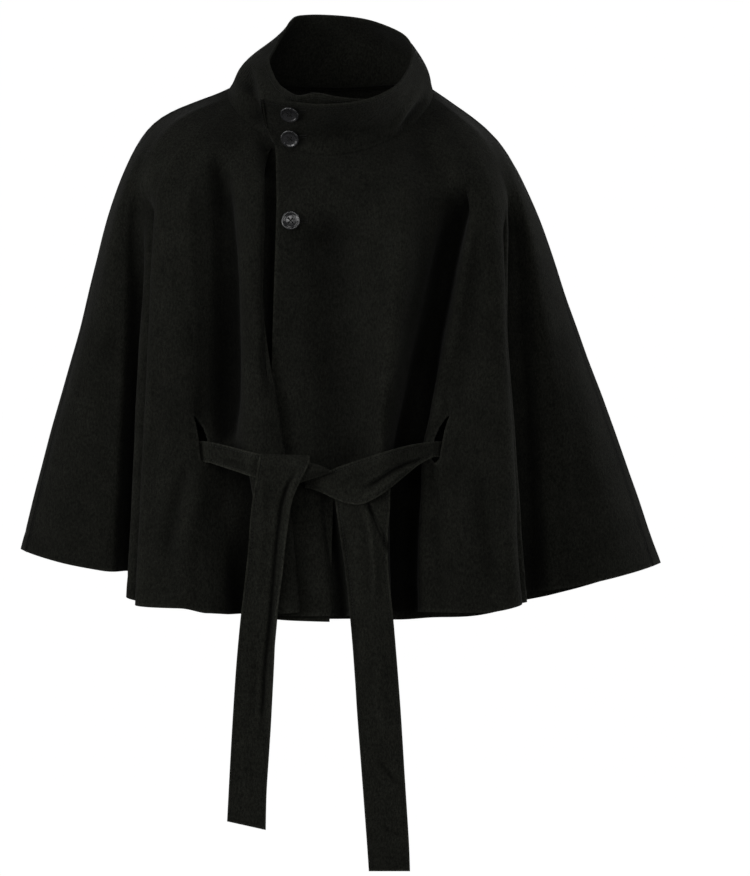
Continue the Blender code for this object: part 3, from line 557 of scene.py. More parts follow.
def fold_heights(mesh, reach, full):
    """Return how far a cloth's points stand out of the cloth round them, between -1 and 1."""
    points, normals = read_points(mesh), read_normals(mesh)
    ends = np.empty(len(mesh.edges) * 2, np.int32)
    mesh.edges.foreach_get("vertices", ends)
    first, second = ends.reshape(-1, 2).T
    spacing = np.linalg.norm(points[first] - points[second], axis=1).mean()
    neighbours = np.maximum(np.bincount(ends, minlength=len(points)), 1)[:, None]
    even = points.copy()
    for _ in range(math.ceil(4 * (reach * MM / spacing) ** 2)):
        total = [np.bincount(first, even[second, axis], len(points))
                 + np.bincount(second, even[first, axis], len(points)) for axis in range(3)]
        even = 0.5 * even + 0.5 * np.stack(total, axis=1) / neighbours
    return np.clip(((points - even) * normals).sum(axis=1) / (full * MM), -1, 1)


def distance_to(points, nodes):
    """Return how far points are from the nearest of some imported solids, in metres, up to CALM_SEARCH."""
    found = np.full(len(points), CALM_SEARCH)
    for tree in [search_tree(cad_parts[node]) for node in nodes]:
        for index, point in enumerate(points):
            distance = tree.find_nearest(Vector(point), CALM_SEARCH)[3]
            if distance is not None and distance < found[index]:
                found[index] = distance
    return found


def edge_rings(shape):
    """Return the rings of edge vertices of an open face, in order, with the cloth on their left."""
    follows = {}
    for edge in shape.edges:
        if len(edge.link_faces) == 1:
            loop = edge.link_loops[0]
            follows[loop.vert.index] = loop.link_loop_next.vert.index
    shape.verts.ensure_lookup_table()
    rings, left = [], set(follows)
    while left:
        ring = [min(left)]
        left.discard(ring[0])
        while follows[ring[-1]] in left:
            ring.append(follows[ring[-1]])
            left.discard(ring[-1])
        rings.append([shape.verts[index] for index in ring])
    return rings


def grid_faces(rows, columns):
    """Return the quads of a grid of points, row by row."""
    corners = [row * columns + place for row in range(rows - 1) for place in range(columns - 1)]
    return [(corner, corner + 1, corner + columns + 1, corner + columns) for corner in corners]


def new_cloth_face(name, grid, towards):
    """Return a cloth face through a grid of points; its middle faces towards."""
    rows, columns = grid.shape[:2]
    mesh = bpy.data.meshes.new(name)
    mesh.from_pydata(grid.reshape(-1, 3).tolist(), [], grid_faces(rows, columns))
    facing = sum((face.normal * face.area for face in mesh.polygons), Vector())
    if facing.dot(towards) < 0:
        mesh.flip_normals()
    piece = link(name, mesh)
    mesh.shade_smooth()
    return piece


def even_strip(piece, towards):
    """Make a strip of cloth again from its two long edges, with even rows across it.

    Return it and the points of its sewn edges: the long ones and a tail's lower end.
    """
    shape = bmesh.new()
    shape.from_mesh(piece.data)
    ring = np.array([vert.co for vert in edge_rings(shape)[0]])
    shape.free()
    ahead, behind = np.roll(ring, -1, axis=0) - ring, ring - np.roll(ring, 1, axis=0)
    straight = (ahead * behind).sum(axis=1)
    straight /= np.linalg.norm(ahead, axis=1) * np.linalg.norm(behind, axis=1)
    corners = sorted(np.argsort(straight)[:4])
    next_corners = corners[1:] + [corners[0] + len(ring)]
    ring = np.vstack([ring, ring])
    sides = [ring[start:end + 1] for start, end in zip(corners, next_corners)]
    lengths = [np.linalg.norm(np.diff(side, axis=0), axis=1).sum() for side in sides]
    if lengths[0] + lengths[2] < lengths[1] + lengths[3]:
        sides = sides[1:] + sides[:1]
    rows = math.ceil(max(lengths) / STRIP_ROW) + 1
    edges, sewn = [], []
    for side in (sides[0], sides[2][::-1]):
        line, at = curve_through(side, LINE_STEP)
        sewn.append(line)
        wanted = np.linspace(0, at[-1], rows)
        edges.append(np.stack([np.interp(wanted, at, line[:, axis]) for axis in range(3)], axis=1))
    shares = np.linspace(0, 1, STRIP_COLUMNS)[None, :, None]
    grid = edges[0][:, None] * (1 - shares) + edges[1][:, None] * shares
    name = piece.name
    if name.endswith("_tail"):
        end = min(grid[0], grid[-1], key=lambda row: row[:, 2].mean())
        sewn.append(curve_through(end, LINE_STEP)[0])
    bpy.data.objects.remove(piece, do_unlink=True)
    return new_cloth_face(name, grid, towards), np.vstack(sewn)


def edge_points(mesh):
    """Return the indices of a face's points that lie on its edge."""
    count = np.zeros(len(mesh.edges), int)
    keys = {key: index for index, key in enumerate(mesh.edge_keys)}
    for face in mesh.polygons:
        for key in face.edge_keys:
            count[keys[key]] += 1
    return sorted({vert for edge, times in zip(mesh.edges, count) if times == 1 for vert in edge.vertices})


def nearest_distance(points, sources):
    """Return how far points are from the nearest of the source points."""
    if not len(sources):
        return np.full(len(points), FAR_OFF)
    tree = KDTree(len(sources))
    for index, source in enumerate(sources):
        tree.insert(source, index)
    tree.balance()
    return np.array([tree.find(point)[2] for point in points])


def set_mask(mesh, name, values):
    """Store a mask on a mesh's points."""
    layer = mesh.attributes.get(name) or mesh.attributes.new(name, "FLOAT", "POINT")
    layer.data.foreach_set("value", values.astype(np.float32))


def edge_kinds(piece, node):
    """Return how far a coat piece's points are from its free edges and from its seams."""
    points = read_points(piece.data)
    trees = [search_tree(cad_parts[other]) for other in COAT_NODES if other != node]
    free, seams = [], []
    for index in edge_points(piece.data):
        near = [tree.find_nearest(Vector(points[index]), SEAM_REACH)[0] for tree in trees]
        (seams if any(place is not None for place in near) else free).append(points[index])
    return nearest_distance(points, free), nearest_distance(points, seams)


def hand_over(piece):
    """Tell the frame which body a piece rides on."""
    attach(piece, BODY)


def finish_wall(piece, thickness, round_edge, finish, segments=EDGE_STEPS):
    """Give a cloth face its thickness inwards and rounded edges, and hand it to the frame."""
    wall = piece.modifiers.new("Wall", "SOLIDIFY")
    wall.thickness = thickness
    wall.offset = -1.0
    wall.use_even_offset = False
    edge = piece.modifiers.new("Edge", "BEVEL")
    edge.width = round_edge
    edge.segments = segments
    edge.limit_method = "ANGLE"
    edge.angle_limit = EDGE_TURN
    edge.use_clamp_overlap = True
    select_only(piece)
    bpy.ops.object.modifier_apply(modifier=wall.name)
    bpy.ops.object.modifier_apply(modifier=edge.name)
    piece.data.shade_smooth()
    piece.data.materials.clear()
    piece.data.materials.append(finish)
    hand_over(piece)


# ---------------------------------------------------------------- finishes


def new_group(name, inputs, outputs):
    """Return an empty shader node group with its input and output nodes."""
    tree = bpy.data.node_groups.new(name, "ShaderNodeTree")
    for label, kind, default in inputs:
        socket = tree.interface.new_socket(name=label, in_out="INPUT", socket_type=kind)
        socket.default_value = default
    for label, kind in outputs:
        tree.interface.new_socket(name=label, in_out="OUTPUT", socket_type=kind)
    return tree, tree.nodes.new("NodeGroupInput"), tree.nodes.new("NodeGroupOutput")


def math_node(tree, operation, first, second=None, third=None):
    """Add a Math node and return its output; each value is a socket or a number."""
    node = tree.nodes.new("ShaderNodeMath")
    node.operation = operation
    for socket, value in zip(node.inputs, (first, second, third)):
        if value is None:
            continue
        if isinstance(value, bpy.types.NodeSocket):
            tree.links.new(value, socket)
        else:
            socket.default_value = value
    return node.outputs[0]


def noise_node(tree, vector, scale, detail, roughness=0.5):
    """Add a noise texture and return its value."""
    node = tree.nodes.new("ShaderNodeTexNoise")
    node.inputs["Detail"].default_value = detail
    node.inputs["Roughness"].default_value = roughness
    tree.links.new(vector, node.inputs["Vector"])
    if isinstance(scale, bpy.types.NodeSocket):
        tree.links.new(scale, node.inputs["Scale"])
    else:
        node.inputs["Scale"].default_value = scale
    return node.outputs["Fac"]


def spread_node(tree, value, low, high, to_low, to_high):
    """Add a Map Range node that takes low and high to to_low and to_high, and return its output."""
    node = tree.nodes.new("ShaderNodeMapRange")
    for name, number in (("From Min", low), ("From Max", high), ("To Min", to_low), ("To Max", to_high)):
        node.inputs[name].default_value = number
    tree.links.new(value, node.inputs["Value"])
    return node.outputs["Result"]


def scale_colour(tree, colour, factor):
    """Multiply a colour by a value and return the result."""
    node = tree.nodes.new("ShaderNodeVectorMath")
    node.operation = "SCALE"
    tree.links.new(colour, node.inputs[0])
    tree.links.new(factor, node.inputs["Scale"])
    return node.outputs["Vector"]


def wool_group():
    """Return the group for brushed wool: mottled colour, painted highlights on edges and ridges, painted
    shade along seams and in troughs, grain.
    """
    tree = bpy.data.node_groups.get("brushed_wool")
    if tree:
        return tree
    tree, given, out = new_group(
        "brushed_wool",
        (("Colour", "NodeSocketColor", (0.01, 0.01, 0.01, 1)), ("Nap", "NodeSocketFloat", 0.0017),
         *((mask, "NodeSocketFloat", 0.0) for mask in ("Edge", "Seam", "Fold"))),
        (("Colour", "NodeSocketColor"), ("Roughness", "NodeSocketFloat"), ("Height", "NodeSocketFloat")))
    place = tree.nodes.new("ShaderNodeTexCoord").outputs["Object"]
    brushed = tree.nodes.new("ShaderNodeMapping")
    brushed.inputs["Scale"].default_value = BRUSHED
    tree.links.new(place, brushed.inputs["Vector"])
    grain_scale = math_node(tree, "DIVIDE", 1.0, given.outputs["Nap"])
    grain = noise_node(tree, brushed.outputs["Vector"], grain_scale, 3.0, 0.62)
    fibre_scale = math_node(tree, "MULTIPLY", grain_scale, FIBRE_SHARE)
    fibre = noise_node(tree, brushed.outputs["Vector"], fibre_scale, 2.0, 0.6)
    cloud = noise_node(tree, place, CLOUDS, 4.0, 0.6)
    fold = given.outputs["Fold"]
    factor = spread_node(tree, grain, *NOISE_RANGE, *GRAIN_SPREAD)
    # Painted light: a highlight along free edges, shade along seams, shade in fold troughs and a highlight on
    # fold ridges.
    for share in (
        spread_node(tree, fibre, *NOISE_RANGE, *FIBRE_SPREAD),
        spread_node(tree, cloud, *NOISE_RANGE, *CLOUD_SPREAD),
        math_node(tree, "MULTIPLY_ADD", given.outputs["Edge"], PAINTED_EDGE_HIGHLIGHT - 1.0, 1.0),
        math_node(tree, "MULTIPLY_ADD", given.outputs["Seam"], PAINTED_SEAM_SHADE - 1.0, 1.0),
        spread_node(tree, fold, -1.0, 0.0, PAINTED_TROUGH_SHADE, 1.0),
        spread_node(tree, fold, 0.0, 1.0, 1.0, PAINTED_RIDGE_HIGHLIGHT),
    ):
        factor = math_node(tree, "MULTIPLY", factor, share)
    tree.links.new(scale_colour(tree, given.outputs["Colour"], factor), out.inputs["Colour"])
    tree.links.new(math_node(tree, "MULTIPLY_ADD", grain, 0.16, 0.80), out.inputs["Roughness"])
    fine = math_node(tree, "MULTIPLY", fibre, 0.3)
    height = math_node(tree, "ADD", math_node(tree, "MULTIPLY", grain, 0.7), fine)
    tree.links.new(height, out.inputs["Height"])
    return tree


def horn_group():
    """Return the group for polished imitation horn: soft clouds and fine streaks."""
    tree, given, out = new_group(
        "polished_horn", (("Colour", "NodeSocketColor", (0.03, 0.03, 0.03, 1)),),
        (("Colour", "NodeSocketColor"), ("Roughness", "NodeSocketFloat"), ("Height", "NodeSocketFloat")))
    place = tree.nodes.new("ShaderNodeTexCoord").outputs["Object"]
    streaked = tree.nodes.new("ShaderNodeMapping")
    streaked.inputs["Scale"].default_value = (1.0, 1.0, 0.25)
    streaked.inputs["Rotation"].default_value = (0.0, 0.5, 0.0)
    tree.links.new(place, streaked.inputs["Vector"])
    cloud = noise_node(tree, place, 160.0, 3.0)
    streak = noise_node(tree, streaked.outputs["Vector"], 900.0, 2.0)
    factor = math_node(tree, "MULTIPLY", streak, 0.35)
    factor = math_node(tree, "ADD", math_node(tree, "ADD", cloud, 0.35), factor)
    tree.links.new(scale_colour(tree, given.outputs["Colour"], factor), out.inputs["Colour"])
    tree.links.new(math_node(tree, "MULTIPLY_ADD", streak, 0.12, 0.14), out.inputs["Roughness"])
    tree.links.new(streak, out.inputs["Height"])
    return tree


def thread_group():
    """Return the group for twisted thread: fine grain."""
    tree, given, out = new_group(
        "twisted_thread", (("Colour", "NodeSocketColor", (0.012, 0.012, 0.012, 1)),),
        (("Colour", "NodeSocketColor"), ("Height", "NodeSocketFloat")))
    place = tree.nodes.new("ShaderNodeTexCoord").outputs["Object"]
    twist = noise_node(tree, place, 4200.0, 1.0)
    factor = math_node(tree, "MULTIPLY_ADD", twist, 0.9, 0.55)
    tree.links.new(scale_colour(tree, given.outputs["Colour"], factor), out.inputs["Colour"])
    tree.links.new(twist, out.inputs["Height"])
    return tree


def new_material(name, group, colour, bump_distance, bump_strength):
    """Return a material with a group between its colour and its Principled shader."""
    material = bpy.data.materials.new(name)
    material.use_nodes = True
    tree = material.node_tree
    shader = tree.nodes["Principled BSDF"]
    effect = tree.nodes.new("ShaderNodeGroup")
    effect.node_tree = group
    effect.inputs["Colour"].default_value = (*colour, 1.0)
    bump = tree.nodes.new("ShaderNodeBump")
    bump.inputs["Distance"].default_value = bump_distance
    bump.inputs["Strength"].default_value = bump_strength
    tree.links.new(effect.outputs["Colour"], shader.inputs["Base Color"])
    tree.links.new(effect.outputs["Height"], bump.inputs["Height"])
    tree.links.new(bump.outputs["Normal"], shader.inputs["Normal"])
    if "Roughness" in effect.outputs:
        tree.links.new(effect.outputs["Roughness"], shader.inputs["Roughness"])
    return material, shader, effect


def wool_material(name, colour):
    """Return brushed black wool; its painted edge highlights, painted seam shade and painted fold shade and
    highlights come from masks on the cloth.
    """
    found = bpy.data.materials.get(name)
    if found:
        return found
    settings = bpy.context.scene.coat_wool
    material, shader, effect = new_material(name, wool_group(), colour, 1.2 * MM, 0.8)
    effect.inputs["Nap"].default_value = settings.nap
    shader.inputs["Sheen Weight"].default_value = settings.sheen
    shader.inputs["Sheen Roughness"].default_value = 0.45
    shader.inputs["Specular IOR Level"].default_value = 0.12
    for mask, socket in (("edge", "Edge"), ("seam", "Seam"), ("fold", "Fold")):
        reader = material.node_tree.nodes.new("ShaderNodeAttribute")
        reader.attribute_name = mask
        material.node_tree.links.new(reader.outputs["Fac"], effect.inputs[socket])
    return material


def thread_material():
    """Return black sewing thread."""
    found = bpy.data.materials.get("black_thread")
    if found:
        return found
    colour = bpy.context.scene.coat_wool.thread_colour
    material, shader, _ = new_material("black_thread", thread_group(), colour, 0.1 * MM, 0.6)
    shader.inputs["Roughness"].default_value = 0.55
    shader.inputs["Sheen Weight"].default_value = 0.08
    return material


def horn_material():
    """Return the buttons' polished dark grey horn."""
    found = bpy.data.materials.get("grey_horn")
    if found:
        return found
    colour = bpy.context.scene.coat_wool.button_colour
    material, shader, _ = new_material("grey_horn", horn_group(), colour, 0.05 * MM, 0.25)
    shader.inputs["Specular IOR Level"].default_value = 1.0
    shader.inputs["Coat IOR"].default_value = 1.7
    shader.inputs["Coat Weight"].default_value = 1.0
    shader.inputs["Coat Roughness"].default_value = 0.16
    return material


# ---------------------------------------------------------------- cloth pieces


def meet_seams(mesh, seam):
    """Move a cloth's sewn edges outwards along the cloth, so that they meet the next piece."""
    shape = bmesh.new()
    shape.from_mesh(mesh)
    shape.normal_update()
    for ring in edge_rings(shape):
        places = [vert.co.copy() for vert in ring]
        for place, vert in enumerate(ring):
            along = (places[(place + 1) % len(ring)] - places[place - 1]).normalized()
            if seam[vert.index] < SEWN:
                vert.co -= vert.normal.cross(along).normalized() * SEAM_MEET
    shape.to_mesh(mesh)
    shape.free()


def groove(away, place, half_width, depth):
    """Return a soft groove's depth at distances from an edge; its middle is at the distance place."""
    return depth * np.exp(-((away - place) / half_width) ** 2)


def mask_cloth(mesh, free, seam, fold_size):
    """Store a cloth's masks: its free edges, which carry a painted highlight, its seams, which carry painted
    shade, and its folds, which carry painted shade in troughs and a painted highlight on ridges. The sewing
    reads the edge and seam masks too.
    """
    set_mask(mesh, "edge", np.exp(-(free / EDGE_HIGHLIGHT_WIDTH) ** 2))
    set_mask(mesh, "seam", np.exp(-(seam / SEAM_SHADE_WIDTH) ** 2))
    set_mask(mesh, "fold", fold_heights(mesh, *fold_size))


def make_cloth(node, towards, row, half_width, depth):
    """Make a coat piece's wool shell on its solid: smooth, creased, with a stitched row pressed in."""
    settings = bpy.context.scene.coat_cloth
    piece = outer_side(node, "wool_" + node, towards)
    smooth_through(piece, LEVELS[node])
    mesh = piece.data
    points, normals = read_points(mesh), read_normals(mesh)
    free, seam = edge_kinds(piece, node)
    rise = crease_rise(points, normals, CREASES[node]) * settings.crease_share + uneven_rise(points)
    calm = smooth_step(distance_to(points, BELT_NODES + BUTTON_NODES), CALM_NEAR, CALM_FAR)
    rise = np.where(rise > 0, rise * calm, rise)
    rise *= smooth_step(seam, 0.0, SEAM_FADE)
    rise += crease_rise(points, normals, HOLLOWS.get(node, ())) * settings.crease_share
    if node in SEAM_LIPS:
        height, reach = SEAM_LIPS[node]
        rise += groove(seam, 0.0, reach, height)
    rise -= groove(free, row, half_width, depth)
    rise += groove(free, row * SWELL_PLACE, row * SWELL_WIDTH, SWELL_HEIGHT * depth)
    write_points(mesh, points + normals * rise[:, None] + slit_draw(points, node))
    meet_seams(mesh, seam)
    mask_cloth(mesh, free, seam, FOLD_SHADE_SIZES.get(node, FOLD_SHADE_SIZES["coat"]))
    return piece


def finish_coat(piece, node):
    """Give a coat piece its wall and its wool, hand it to the frame and hide the solid that it stands for."""
    cloth, wool = bpy.context.scene.coat_cloth, bpy.context.scene.coat_wool
    finish = wool_material("brushed_coat_wool", wool.colour)
    steps = ROUND_STEPS.get(node, EDGE_STEPS)
    finish_wall(piece, cloth.wall, cloth.edge_round, finish, steps)
    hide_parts(node)


class COAT_OT_collar(bpy.types.Operator):
    """Make the wrapped collar, with a stitched rim"""

    bl_idname = "coat.collar"
    bl_label = "Collar"

    def execute(self, context):
        row = context.scene.coat_cloth.collar_row
        piece = make_cloth("collar", FRONT, row, *COLLAR_PRESS)
        sew_row(piece, "thread_collar", row, "free")
        finish_coat(piece, "collar")
        return {"FINISHED"}


class COAT_OT_fronts(bpy.types.Operator):
    """Make the two fronts, with their creases and turned-up hems"""

    bl_idname = "coat.fronts"
    bl_label = "Fronts"

    def execute(self, context):
        for node in ("left_front", "right_front"):
            piece = make_cloth(node, FRONT, context.scene.coat_cloth.hem_row, *HEM_PRESS)
            finish_coat(piece, node)
        return {"FINISHED"}


class COAT_OT_back(bpy.types.Operator):
    """Make the back, with its flutes and turned-up hem"""

    bl_idname = "coat.back"
    bl_label = "Back"

    def execute(self, context):
        piece = make_cloth("back", BEHIND, context.scene.coat_cloth.hem_row, *HEM_PRESS)
        finish_coat(piece, "back")
        return {"FINISHED"}


class COAT_OT_belt(bpy.types.Operator):
    """Make the belt's stretches and tails, with stitched edges"""

    bl_idname = "coat.belt"
    bl_label = "Belt"

    def execute(self, context):
        cloth, wool = context.scene.coat_cloth, context.scene.coat_wool
        finish = wool_material("pressed_belt_wool", wool.belt_colour)
        for node in BELT_NODES:
            towards = BEHIND if node == "belt_inner" else FRONT
            piece, sewn = even_strip(outer_side(node, "wool_" + node, towards), towards)
            smooth_through(piece, LEVELS["belt"])
            mesh = piece.data
            points, normals = read_points(mesh), read_normals(mesh)
            free = nearest_distance(points, sewn)
            rise = crease_rise(points, normals, CREASES[node]) * cloth.crease_share
            rise -= groove(free, cloth.belt_row, *BELT_PRESS)
            write_points(mesh, points + normals * rise[:, None])
            mask_cloth(mesh, free, np.full(len(points), FAR_OFF), FOLD_SHADE_SIZES["belt"])
            sew_row(piece, "thread_" + node, cloth.belt_row, "long")
            finish_wall(piece, cloth.belt_wall, cloth.edge_round, finish)
            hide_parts(node)
        fold = new_cloth_face("wool_knot_fold", np.array(KNOT_FOLD) * MM, FRONT)
        smooth_through(fold, LEVELS["knot"])
        points = read_points(fold.data)
        free = nearest_distance(points, points[edge_points(fold.data)])
        # The knot's loop gets the painted highlight along its edges too.
        set_mask(fold.data, "edge", np.exp(-(free / EDGE_HIGHLIGHT_WIDTH) ** 2))
        finish_wall(fold, cloth.belt_wall, cloth.edge_round, finish)
        return {"FINISHED"}


# ---------------------------------------------------------------- sewing


def edge_runs(piece, kind):
    """Return the runs of a face's edge that are stitched, as lists of point and inward direction."""
    shape = bmesh.new()
    shape.from_mesh(piece.data)
    shape.normal_update()
    free, seam = (piece.data.attributes[name].data for name in ("edge", "seam"))
    found = []
    for ring in edge_rings(shape):
        line = []
        for place, vert in enumerate(ring):
            along = (ring[(place + 1) % len(ring)].co - ring[place - 1].co).normalized()
            inward = vert.normal.cross(along)
            stitched = free[vert.index].value > STITCHED_EDGE and seam[vert.index].value < STITCHED_SEAM
            if kind == "long":
                stitched = stitched and abs(along.dot(run_direction(piece, vert.co))) > FACING
            if stitched:
                line.append((vert.co.copy(), inward.normalized()))
            elif line:
                found.append(line)
                line = []
        if line:
            found.append(line)
    shape.free()
    return [line for line in found if len(line) > SHORTEST_RUN]


def run_direction(piece, place):
    """Return the direction in which a belt piece runs at a place."""
    size = piece.dimensions
    if size.z > max(size.x, size.y):
        return Vector((0, 0, 1))
    if piece.name == "wool_belt_inner":
        return Vector((-(place.y - BELT_RING_Y), place.x, 0)).normalized()
    return STRETCH_RUN.normalized()


def stitch_points(length, radius):
    """Return one stitch as a short rounded thread along x, with its faces."""
    sides, last = STITCH_SIDES, len(STITCH_FORM) - 1
    points, faces = [], []
    for share, size, rise in STITCH_FORM:
        for side in range(sides):
            angle = 2 * math.pi * side / sides
            across, up = math.cos(angle) * size, math.sin(angle) * size + rise
            points.append((share * length, across * radius, up * radius))
    for ring in range(last):
        for side in range(sides):
            low, after = ring * sides, (side + 1) % sides
            faces.append((low + side, low + after, low + sides + after, low + sides + side))
    faces.append(tuple(reversed(range(sides))))
    faces.append(tuple(last * sides + side for side in range(sides)))
    return np.array(points), faces


def lay_stitches(name, places, length, thread):
    """Make one piece of stitches and hand it over; a place is a middle, a direction and a normal."""
    shape, shape_faces = stitch_points(length, thread / 2)
    points, faces = [], []
    for middle, along, normal in places:
        across = normal.cross(along).normalized()
        turn = np.array([along, across, normal])
        start = len(points) * len(shape)
        points.append(shape @ turn + np.array(middle))
        faces += [tuple(start + index for index in face) for face in shape_faces]
    mesh = bpy.data.meshes.new(name)
    mesh.from_pydata(np.concatenate(points).tolist(), [], faces)
    mesh.validate()
    mesh.shade_smooth()
    mesh.materials.append(thread_material())
    hand_over(link(name, mesh))


def sew_row(piece, name, distance, kind):
    """Sew a row of stitches along a cloth's edges, before the cloth gets its thickness."""
    settings = bpy.context.scene.coat_cloth
    tree = search_tree(piece)
    pitch = settings.stitch + settings.stitch_gap
    places = []
    for line in edge_runs(piece, kind):
        route = [tree.find_nearest(place + inward * distance)[0] for place, inward in line]
        spare = pitch / 2
        for start, end in zip(route, route[1:]):
            step = (end - start).length
            if not SHORTEST_STEP <= step <= LONGEST_STEP:
                continue
            while spare < step:
                middle, normal = tree.find_nearest(start.lerp(end, spare / step))[:2]
                along = (end - start).normalized()
                along = (along - normal * along.dot(normal)).normalized()
                places.append((middle + normal * settings.thread * STITCH_LIFT, along, normal))
                spare += pitch
            spare -= step
    if not places:
        raise RuntimeError(f"{name} has no edge to sew along")
    lay_stitches(name, places, settings.stitch, settings.thread)


# ---------------------------------------------------------------- buttons


def button_frame(node):
    """Return a packed button's middle, its face's direction and two directions across it."""
    points = read_points(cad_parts[node].data)
    middle = points.mean(axis=0)
    _, _, axes = np.linalg.svd(points - middle, full_matrices=False)
    out = Vector(axes[2]) if axes[2][1] <= 0 else -Vector(axes[2])
    side = out.cross(Vector((0, 0, 1))).normalized()
    up = side.cross(out).normalized()
    height = (points - middle) @ np.array(out)
    radius = np.linalg.norm((points - middle) - np.outer(height, np.array(out)), axis=1)
    rim = points[radius > radius.max() * RIM_SHARE]
    middle = Vector((rim.min(axis=0) + rim.max(axis=0)) / 2)
    return middle, out, side, up


def turned_button(settings):
    """Make a four-hole button about the Z axis, its face up, and return it."""
    radius, rim = settings.diameter / 2, settings.rim
    # radius, height above the middle of the rim's edge
    profile = (
        (0.0, -2.0 * MM), (radius * 0.72, -2.0 * MM), (radius * 0.90, -1.6 * MM), (radius * 0.985, -0.8 * MM),
        (radius, 0.0), (radius * 0.985, 0.75 * MM), (radius * 0.94, 1.25 * MM), (radius * 0.88, 1.42 * MM),
        (radius - rim * 0.8, 1.25 * MM), (radius - rim, 0.75 * MM), (radius - rim * 1.25, 0.35 * MM),
        (radius * 0.5, 0.12 * MM), (radius * 0.2, 0.02 * MM), (0.0, 0.0),
    )
    piece = spin_profile("button_profile", profile, settings.segments, WELD, False)
    half = settings.hole_step / 2
    cutters = []
    for x, y in ((half, half), (-half, half), (-half, -half), (half, -half)):
        bpy.ops.mesh.primitive_cylinder_add(
            vertices=HOLE_SIDES, radius=settings.hole / 2, depth=HOLE_DEPTH, location=(x, y, 0))
        cutters.append(bpy.context.object)
    for cutter in cutters:
        holes = piece.modifiers.new("Hole", "BOOLEAN")
        holes.operation = "DIFFERENCE"
        holes.object = cutter
        select_only(piece)
        bpy.ops.object.modifier_apply(modifier=holes.name)
    for cutter in cutters:
        bpy.data.objects.remove(cutter, do_unlink=True)
    soften = piece.modifiers.new("Soften", "BEVEL")
    soften.width = SOFT_WIDTH
    soften.segments = 2
    soften.limit_method = "ANGLE"
    soften.angle_limit = SOFT_TURN
    select_only(piece)
    bpy.ops.object.modifier_apply(modifier=soften.name)
    piece.data.shade_smooth()
    return piece


def place_mesh(mesh, middle, side, up, out):
    """Turn and move a mesh made about the Z axis so that its face looks out."""
    points = read_points(mesh)
    write_points(mesh, points @ np.array([side, up, out]) + np.array(middle))


class COAT_OT_buttons(bpy.types.Operator):
    """Make the three buttons, each sewn on with crossed thread"""

    bl_idname = "coat.buttons"
    bl_label = "Buttons"

    def execute(self, context):
        settings = context.scene.coat_buttons
        pattern = turned_button(settings)
        for node in BUTTON_NODES:
            middle, out, side, up = button_frame(node)
            button = link(f"horn_{node}", pattern.data.copy())
            place_mesh(button.data, middle, side, up, out)
            button.data.materials.append(horn_material())
            hand_over(button)
            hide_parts(node)
            ties = []
            for along in ((side + up).normalized(), (side - up).normalized()):
                for shift in TIE_SHIFTS:
                    height = TIE_HEIGHT + TIE_SPREADS[node] * shift
                    ties.append((middle + out.cross(along) * shift + out * height, along, out))
            length = settings.hole_step * TIE_LENGTH
            lay_stitches(f"thread_{node}", ties, length, TIE_THREAD)
            shank = [(middle + side * x - out * SHANK_DEPTH, out, up) for x in SHANK_PLACES]
            lay_stitches(f"shank_{node}", shank, SHANK_LENGTH, SHANK_THREAD)
        bpy.data.objects.remove(pattern, do_unlink=True)
        return {"FINISHED"}


class COAT_OT_buttonholes(bpy.types.Operator):
    """Sew a buttonhole under each button, on its cloth"""

    bl_idname = "coat.buttonholes"
    bl_label = "Buttonholes"

    def execute(self, context):
        length = context.scene.coat_buttons.buttonhole
        trees = [search_tree(bpy.data.objects["wool_" + node]) for node in ("collar", "left_front")]
        for node in BUTTON_NODES:
            middle, out, side, up = button_frame(node)
            across = side if side.x > 0 else -side
            places = []
            for step in range(HOLE_STITCHES):
                x = HOLE_START + length * (step + 0.5) / HOLE_STITCHES
                for sign in (-1, 1):
                    spot = middle + across * x + up * sign * HOLE_HALF
                    hits = [tree.ray_cast(spot + out * HOLE_SEARCH, -out)[:2] for tree in trees]
                    hits = [(place, normal) for place, normal in hits if place is not None]
                    if not hits:
                        continue
                    place, normal = max(hits, key=lambda hit: hit[0].dot(out))
                    along = (up - normal * up.dot(normal)).normalized()
                    places.append((place + normal * HOLE_LIFT, along, normal))
            if not places:
                raise RuntimeError(f"{node} has no cloth for its buttonhole")
            lay_stitches(f"buttonhole_{node}", places, HOLE_STITCH, HOLE_THREAD)
        return {"FINISHED"}


# ---------------------------------------------------------------- studio


def stage_material():
    """Return the studio's pale plain finish, which comes out near white."""
    material = bpy.data.materials.new("pale_studio")
    material.use_nodes = True
    tree = material.node_tree
    shader = tree.nodes["Principled BSDF"]
    shader.inputs["Base Color"].default_value = (0.12, 0.12, 0.12, 1.0)
    shader.inputs["Roughness"].default_value = 0.9
    shader.inputs["Emission Color"].default_value = (1.0, 1.0, 1.0, 1.0)
    seen = tree.nodes.new("ShaderNodeLightPath").outputs["Is Camera Ray"]
    ambient = bpy.context.scene.coat_stage.ambient
    strength = math_node(tree, "MULTIPLY_ADD", seen, 1.0 - ambient, ambient)
    tree.links.new(strength, shader.inputs["Emission Strength"])
    return material


def add_light(name, place, target, size, power):
    """Add a large soft light that looks at the target."""
    light = bpy.data.lights.new(name, "AREA")
    light.shape = "RECTANGLE"
    light.size, light.size_y = size
    light.energy = power
    lamp = bpy.data.objects.new(name, light)
    bpy.context.scene.collection.objects.link(lamp)
    lamp.location = place
    lamp.rotation_euler = (Vector(target) - Vector(place)).to_track_quat("-Z", "Y").to_euler()
    lamp.visible_camera = False


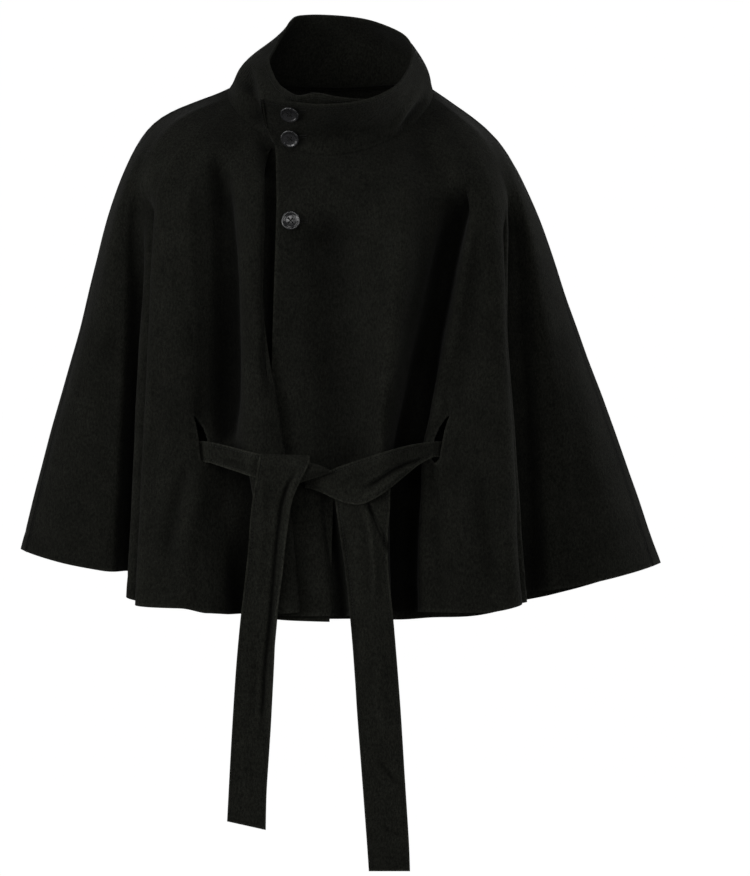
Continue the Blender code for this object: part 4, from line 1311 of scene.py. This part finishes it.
class COAT_OT_studio(bpy.types.Operator):
    """Make the pale studio floor, the soft lights and the camera"""

    bl_idname = "coat.studio"
    bl_label = "Studio"

    def execute(self, context):
        settings = context.scene.coat_stage
        radius, floor = settings.floor_radius, settings.floor_height
        profile = [(0.0, floor)]
        for step in range(FLOOR_STEPS + 1):
            angle = math.pi / 2 * step / FLOOR_STEPS
            out, up = FLOOR_BEND * math.sin(angle), FLOOR_BEND * math.cos(angle)
            profile.append((radius - FLOOR_BEND + out, floor + FLOOR_BEND - up))
        profile.append((radius, floor + WALL_TOP))
        bowl = spin_profile("studio_floor", profile, FLOOR_SIDES, 1 * MM, True)
        bowl.data.shade_smooth()
        bowl.data.materials.append(stage_material())

        world = bpy.data.worlds.new("studio")
        context.scene.world = world
        world.use_nodes = True
        world.node_tree.nodes["Background"].inputs["Color"].default_value = (1, 1, 1, 1)
        world.node_tree.nodes["Background"].inputs["Strength"].default_value = settings.ambient

        for name, place, size, power in LIGHTS:
            add_light(name, place, LIGHT_TARGET, size, power * settings.light_share)

        camera = bpy.data.objects.new("camera", bpy.data.cameras.new("camera"))
        context.scene.collection.objects.link(camera)
        camera.location = settings.camera_place
        camera.rotation_euler = (math.pi / 2, 0, 0)
        camera.data.sensor_fit = "VERTICAL"
        camera.data.sensor_height = 36.0
        camera.data.lens = settings.lens
        camera.data.clip_end = 100.0
        context.scene.camera = camera
        context.scene.view_settings.view_transform = "Standard"
        return {"FINISHED"}


class COAT_PT_sidebar(bpy.types.Panel):
    """List the coat's sizes, finishes and pieces"""

    bl_idname = "COAT_PT_sidebar"
    bl_label = "Coat"
    bl_space_type = "VIEW_3D"
    bl_region_type = "UI"
    bl_category = "Coat"

    def draw(self, context):
        for group, kind in SETTINGS.items():
            box = self.layout.box()
            for name in kind.__annotations__:
                box.prop(getattr(context.scene, group), name)
        for operator in OPERATORS:
            self.layout.operator(operator.bl_idname)


SETTINGS = {
    "coat_cloth": CoatCloth, "coat_wool": CoatWool, "coat_buttons": CoatButtons, "coat_stage": CoatStage,
}
OPERATORS = (
    COAT_OT_collar, COAT_OT_fronts, COAT_OT_back, COAT_OT_belt, COAT_OT_buttons, COAT_OT_buttonholes,
    COAT_OT_studio,
)
CLASSES = (*SETTINGS.values(), *OPERATORS, COAT_PT_sidebar)


def register():
    """Register the classes and put the settings on the scene."""
    for kind in CLASSES:
        bpy.utils.register_class(kind)
    for name, kind in SETTINGS.items():
        setattr(bpy.types.Scene, name, PointerProperty(type=kind))


def unregister():
    """Take the settings and the classes away again."""
    for name in SETTINGS:
        delattr(bpy.types.Scene, name)
    for kind in reversed(CLASSES):
        bpy.utils.unregister_class(kind)


def main():
    """Make the coat and its studio."""
    register()
    bpy.ops.coat.collar()
    bpy.ops.coat.fronts()
    bpy.ops.coat.back()
    bpy.ops.coat.belt()
    bpy.ops.coat.buttons()
    bpy.ops.coat.buttonholes()
    bpy.ops.coat.studio()


if __name__ == "__main__":
    main()
